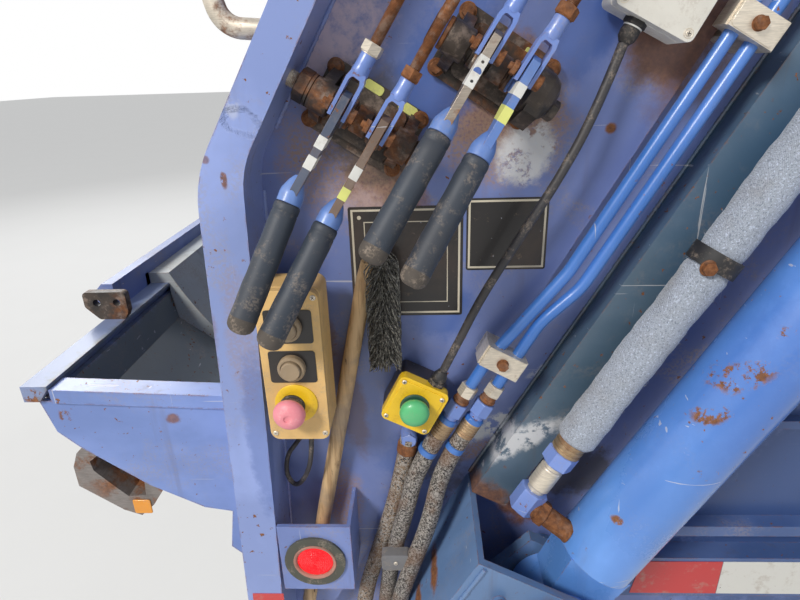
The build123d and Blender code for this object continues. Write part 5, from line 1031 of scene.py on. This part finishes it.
# Broom: grained handle, and a head of curled strands tied round it
def broom_pieces():
    foot, top = at(57, -11.8, 715), at(190, -24, 1326)
    along = (top - foot).normalized()
    length = (top - foot).length / MM
    f = Form("broom_stick").use("weathered_wood")
    steps = 26
    points = [foot + along * (length * k / steps) * MM for k in range(steps + 1)]
    radii = [11.3 + rng.uniform(-0.25, 0.2) for _ in points]
    f.tube([foot, foot + along * 0.0025] + points[1:], [9.6, 11.4] + radii[1:-1] + [9.0], 28)
    f.done("handle_wood", 0, ["broom_handle"], 60)
    strands = Form("broom_strands").use("bristle_fibre")
    low, high = at(187, -50, 1180), at(229, -3, 1343)
    wide, deep, tall = (b - a for a, b in zip(low, high))
    for k in range(1500):
        share = rng.random()
        root = Vector((rng.uniform(0.30, 0.70) * wide + low.x, rng.uniform(0.35, 0.75) * deep + low.y,
                       low.z + (0.10 + 0.88 * share) * tall))
        fan = Vector((rng.uniform(-1.0, 1.0), rng.uniform(-1.1, 0.5), rng.uniform(-1.6, -0.3))).normalized()
        length = rng.uniform(16, 44) * MM
        bend = Vector((rng.uniform(-0.5, 0.5), rng.uniform(-0.4, 0.3), rng.uniform(-0.6, 0.1)))
        run = []
        for step in (0, 0.35, 0.7, 1.0):
            place = root + fan * length * step + bend * length * 0.35 * step * step
            place = Vector([min(max(p, a), b) for p, a, b in zip(place, low, high)])
            if not run or (place - run[-1]).length > 0.0012:
                run.append(place)
        if len(run) > 2:
            strands.tube(run, [rng.uniform(0.6, 1.0)] * (len(run) - 1) + [0.3], 4)
    middle_x, middle_y = (low.x + high.x) / 2, (low.y + high.y) / 2
    core = [Vector((middle_x, middle_y + 0.003, low.z + tall * (0.04 + 0.92 * k / 8))) for k in range(9)]
    strands.tube(core, [5, 9, 12, 13, 13, 13, 12, 11, 8], 12)
    strands.done("bristle_fibre", 0, ["broom_bristles"], 50)


broom_pieces()


# Fittings between tubes and hoses, and at the sleeved line's ends
def hose_fittings():
    f = Form("hose_end_fittings")
    ferrule = [(65.8, 13.0), *ribs(67, 4.6, 5, [(0, 13.8), (2.6, 13.8), (3.4, 12.8), (4.0, 12.8)]),
               (91.2, 13.7), (91.8, 13.0)]
    for place in (slope(250, 284, -30), slope(268, 252.5, -30)):
        f.turned(place, -SLOPE_S, "zinc", (22, 0, 17, rng.uniform(0, 1)),
                 "bolt_rust", [(16, 9.6), (18, 10), (24, 10), (25, 11.6), (28, 11.6), (30, 10)],
                 "fitting_paint", (25, 30, 52, rng.uniform(0, 1)), [(51, 9), (52.5, 10.4), (58.5, 10.4)],
                 "tube_paint", ([(58, 11.4), (60, 13.6), (66, 13.6)], 36), "ferrule_tan", (ferrule, 40))
    f.turned(at(236, -16, 1052), OUT, "fitting_paint", [(-15.5, 12), (4, 12), (8, 11), (11.6, 8)],
             (20, 6, 12, 0.4))
    start = hose_routes[2][0]
    f.turned(start, hose_routes[2][1] - start, "bolt_rust",
             ([(9, 13.2), (10.5, 14.8), (25, 14.8), (27, 13.2)], 36))
    for x, y in ((186, -26), (200, -58), (148, -28)):
        foot = at(x, y, 652)
        f.turned(foot, UP, "zinc", (25, 0, 9, rng.uniform(0, 1)), "ferrule_tan",
                 ([(8.8, 13.2), (10, 14.3), (14, 14.3), (15, 13.4), (17, 13.4), (18, 14.3), (21.6, 14.3),
                   (22, 13.2)], 36))
        f.turned(foot, -UP, "zinc", ([(0, 10.8), (9, 10.8), (10, 9.6)], 28), (26, 6.2, 9.6, 0.2))
    for s, sign in ((250, -1), (1180, 1)):
        f.turned(slope(s, 120, -45), SLOPE_S * sign, "ferrule_tan",
                 ([(0.2, 18), (1.4, 21), (5, 21), (6, 19.4), (8, 19.4), (9, 21), (13, 21), (14, 19.4),
                   (16, 19.4), (17, 21), (21, 21), (22, 19)], 44),
                 "fitting_paint", (40, 22, 46, 0.3),
                 "zinc", ([(45.6, 12.6), (46.6, 14), (53, 14), (54, 15.6), (56, 16.6)], 40),
                 ([(55.6, 16.6), (90, 16.6), (92, 15), (92.6, 13), (98.2, 13)], 40),
                 "fitting_paint", (38, 98, 138, 0.55), "bolt_rust")
        if sign < 0:
            elbow = slope(126, 120, -45)
            into = slope(126, 54, -72) - elbow
            length = into.length / MM
            f.turned(elbow, into, [(0, 15), (length - 4, 15), (length + 2, 17)], (34, 20, 34, 0.2))
        else:
            f.lathe(slope(1304, 120, -45), -OUT, [(0, 18), (33, 18), (34.6, 20)])
    f.done("deep_blue_paint", 0.6, ["line_fittings"], 34)
    bands = Form("hose_bands").use("tube_paint")
    for route, along in zip(hose_routes, (0.026, 0.020)):
        toward = (route[1] - route[0]).normalized()
        bands.lathe(route[0] + toward * along, toward, [(0, 13.2), (0.6, 14.4), (9, 14.4), (9.6, 13.2)], 36)
    bands.done("deep_blue_paint", 0, (), 40)


hose_fittings()


# Sleeve over the large hose: a soft tube with creases and loose yarn ends
def sleeve_piece():
    f = Form("sleeve_tube").use("sleeve_cloth")
    steps, sides = 150, 56
    low, high = 250.3, 1179.6
    strap_at = 548
    rings = []
    for k in range(steps + 1):
        s = low + (high - low) * k / steps
        swell = 0.55 * sin(k * 0.31) + 0.45 * sin(k * 0.83 + 1.0) + 0.3 * sin(k * 1.7 + 2.0)
        if abs(s - strap_at) < 14:
            swell = -1.2
        tuck = 4 if k in (0, steps) else 0
        rings.append(circle(slope(s, 120, -45), SLOPE_N, OUT,
                            [27.0 + swell + 0.5 * sin(3 * (2 * pi * i / sides) + k * 0.13) - tuck
                             for i in range(sides)]))
    f.skin(rings)
    for k in range(900):
        s = rng.uniform(256, 1174)
        angle = rng.uniform(-0.4, pi + 0.4)
        radial = SLOPE_N * cos(angle) + OUT * sin(angle)
        root = slope(s, 120, -45) + radial * 26.6 * MM
        yarn = radial * rng.uniform(0.8, 2.2) + SLOPE_S * rng.uniform(-3, 3) + UP * rng.uniform(-1, 1)
        tip = root + yarn * MM
        f.tube([root, (root + tip) / 2 + radial * 0.5 * MM, tip], [0.35, 0.3, 0.15], 3)
    f.done("sleeve_fabric", 0, ["sleeved_line"], 80)
    strap = Form("sleeve_strap").use("bolt_rust")
    strap.bolt(at(591.5, -71, 1326.6), OUT, 15, 6, 10)
    strap.done("plated_steel", 0.4)


sleeve_piece()


# Bolts, welds and pins on the structure; the post's places are (X, Z)
POST_LEAN = radians(59.1)
POST_BEND = (6.7, 1444.5)
POST_FOOT = (-25.0, 640.0)
POST_DEPTH_LOW = 54.0
POST_DEPTH_HIGH = 42.0


def clamp_pieces():
    f = Form("tube_clamp_bolts")
    for s, n in ((306, 269), (771, 246), (1300, 246), (1800, 246)):
        f.use("bolt_rust").bolt(slope(s, n + 1, -48), OUT, 13, 6, 8)
        f.use("zinc").slab(slope(s, n, -48), SLOPE_S, (28, 54, 5, 4), 0.8)
    f.done("plated_steel", 0.4)


def foot_pieces():
    f = Form("cylinder_foot_pins")
    for side in (1, -1):
        out = OUT * side
        f.turned(mirrored(slope(36, 51, -158), side), out, "zinc",
                 ([(0, 27), (1.6, 28), (3, 27), (3.2, 22), (2.2, 20)], 44), ([(2, 8), (5, 7), (7, 3)], 20))
        f.turned(mirrored(slope(31.5, 124, -152), side), out, "nut_orange", (19, 0, 8, 0.3), "foot_paint")
        for s, end_s, n, y, size in ((72, -118, 170, -147, 3.4), (70, -80, -55, -146.5, 3.0)):
            f.weld(mirrored(slope(s, n, y), side), mirrored(slope(end_s, n, y), side), size, out)
    f.done("plated_steel", 0.5)


def post_edge(z):
    """Place beside the right post's inner edge, below or above its bend."""
    (foot_x, foot_z), (bend_x, bend_z) = POST_FOOT, POST_BEND
    if z < bend_z:
        x = foot_x + POST_DEPTH_LOW + (z - foot_z) * (bend_x - foot_x) / (bend_z - foot_z)
    else:
        x = bend_x + POST_DEPTH_HIGH / sin(POST_LEAN) + (z - bend_z) / tan(POST_LEAN)
    return at(x + 1.5, -1, z)


def wall_pieces():
    f = Form("wall_welds_and_bolts").use("post_paint")
    f.weld(post_edge(760), post_edge(1415), 3.0)
    f.weld(post_edge(1490), post_edge(1955), 3.0)
    f.use("track_paint")
    for n in (182, 118):
        f.weld(slope(80, n, 34), slope(1400, n, 34), 3.0)
    f.done("blue_paint")


def strap_piece():
    f = Form("hose_strap").use("rubber_grey")
    f.slab(at(212, -44, 851), FORWARD, (44, 30, 6, 5), 16, -2)
    f.screw(at(212, -60, 851), OUT, 3.4, 0.5)
    f.done("grey_plastic", 1.2, (), 38, 3)


def lamp_pieces():
    """Prismatic lenses, each in its rim."""
    prisms = [(base + 0.3 * k, radius - 3 * k) for k in range(8) for base, radius in ((3.2, 24), (4.0, 22.4))]
    for side, name in ((1, "right"), (-1, "left")):
        place = mirrored(at(94.7, -84, 882), side)
        f = Form(f"lamp_{name}").use("lamp_red")
        f.lathe(place, OUT * side, [(-20, 27), (1, 27), (2.2, 26.4), (3, 24.6), *prisms, (6.4, 0.1)], 64)
        f.done("lamp_red", 0, ["tail_lamps"], 20)
        ring = Form(f"lamp_ring_{name}").use("lamp_rim")
        ring.lathe(place, OUT * side,
                   [(-18, 31.9), (4.2, 31.9), (5.4, 31), (5.4, 29), (3.6, 27.4), (2, 27.2)], 64)
        ring.done("lamp_red", 0, ["tail_lamps"], 50)


def marker_pieces():
    f = Form("latch_reflector").use("amber_plastic")
    f.slab(at(-213, 20, 889), FORWARD, (30, 28, 3, 4), 2.2)
    f.done("grey_plastic", 0.8)
    sill = Form("sill_marker").use("amber_plastic")
    sill.prism(at(-336, 421, 1140), -OUT, -FORWARD, rounded(16, 44, 3, 4), 2)
    sill.done("grey_plastic", 0.5)


clamp_pieces()
foot_pieces()
wall_pieces()
strap_piece()
lamp_pieces()
marker_pieces()

# Stage and light
FLOOR_GLOW = 0.5
FLOOR_Z = -3.1


def stage():
    """Pale floor, lifted for the camera alone, so that it stays pale far out and keeps shadows."""
    f = Finish("floor_finish", (0.78, 0.78, 0.77), 0.9)
    f.coat(f.patch(2.0, 4, 0.6, 0.4, 0.7, 0.25), (0.72, 0.72, 0.71))
    data = bpy.data.meshes.new("studio_floor")
    corners = [(x, y, FLOOR_Z) for x, y in box(-40, 40, -40, 60)]
    data.from_pydata(corners, [], [(0, 1, 2, 3)])
    f.done()
    data.materials.append(f.material)
    end = f.tree.nodes["Material Output"].inputs["Surface"]
    share = f.both(f.node("LightPath").outputs["Is Camera Ray"], FLOOR_GLOW)
    glow = f.node("Emission", Color=(0.80, 0.80, 0.79, 1)).outputs[0]
    feed(f.tree, end, f.node("MixShader", (), share, end.links[0].from_socket, glow).outputs[0])
    add_object("studio_floor", data)


def lamp(name, place, target, size, power, colour=(1, 1, 1)):
    data = bpy.data.lights.new(name, "AREA")
    data.shape = "DISK"
    data.size = size
    data.energy = power
    data.color = colour
    light = add_object(name, data)
    light.location = place
    light.rotation_euler = (Vector(target) - Vector(place)).to_track_quat("-Z", "Y").to_euler()


def light_studio():
    """Lamps, and a world that is white to the camera and in metal and glass."""
    world = bpy.data.worlds.new("studio")
    bpy.context.scene.world = world
    world.use_nodes = True
    tree = world.node_tree
    soft = tree.nodes["Background"]
    soft.inputs["Color"].default_value = (0.90, 0.94, 1.0, 1)
    soft.inputs["Strength"].default_value = 0.37
    white = add_node(tree, "Background", Color=(1, 1, 1, 1), Strength=1.0)
    ray = add_node(tree, "LightPath").outputs
    seen = ray["Is Camera Ray"]
    for other in ("Is Glossy Ray", "Is Transmission Ray"):
        seen = add_node(tree, "Math", {"operation": "MAXIMUM"}, seen, ray[other]).outputs[0]
    both = add_node(tree, "MixShader", (), seen, soft.outputs[0], white.outputs[0])
    tree.links.new(both.outputs[0], tree.nodes["World Output"].inputs[0])
    lamp("key", (-5.2, -4.9, 2.6), (-1.5, 0, -1.7), 1.7, 430, (1.0, 0.96, 0.90))
    lamp("fill", (4.0, -6.0, 0.5), (-1.0, 0, -1.6), 4.0, 36, (0.92, 0.96, 1.0))
    lamp("rear", (-6.0, 5.5, 2.0), (-1.0, 0.8, -1.5), 3.0, 230)
    lamp("front", (5.5, 4.5, 2.5), (-0.6, 0.8, -1.5), 4.0, 180)


stage()
light_studio()
bpy.context.scene.view_settings.view_transform = "Standard"
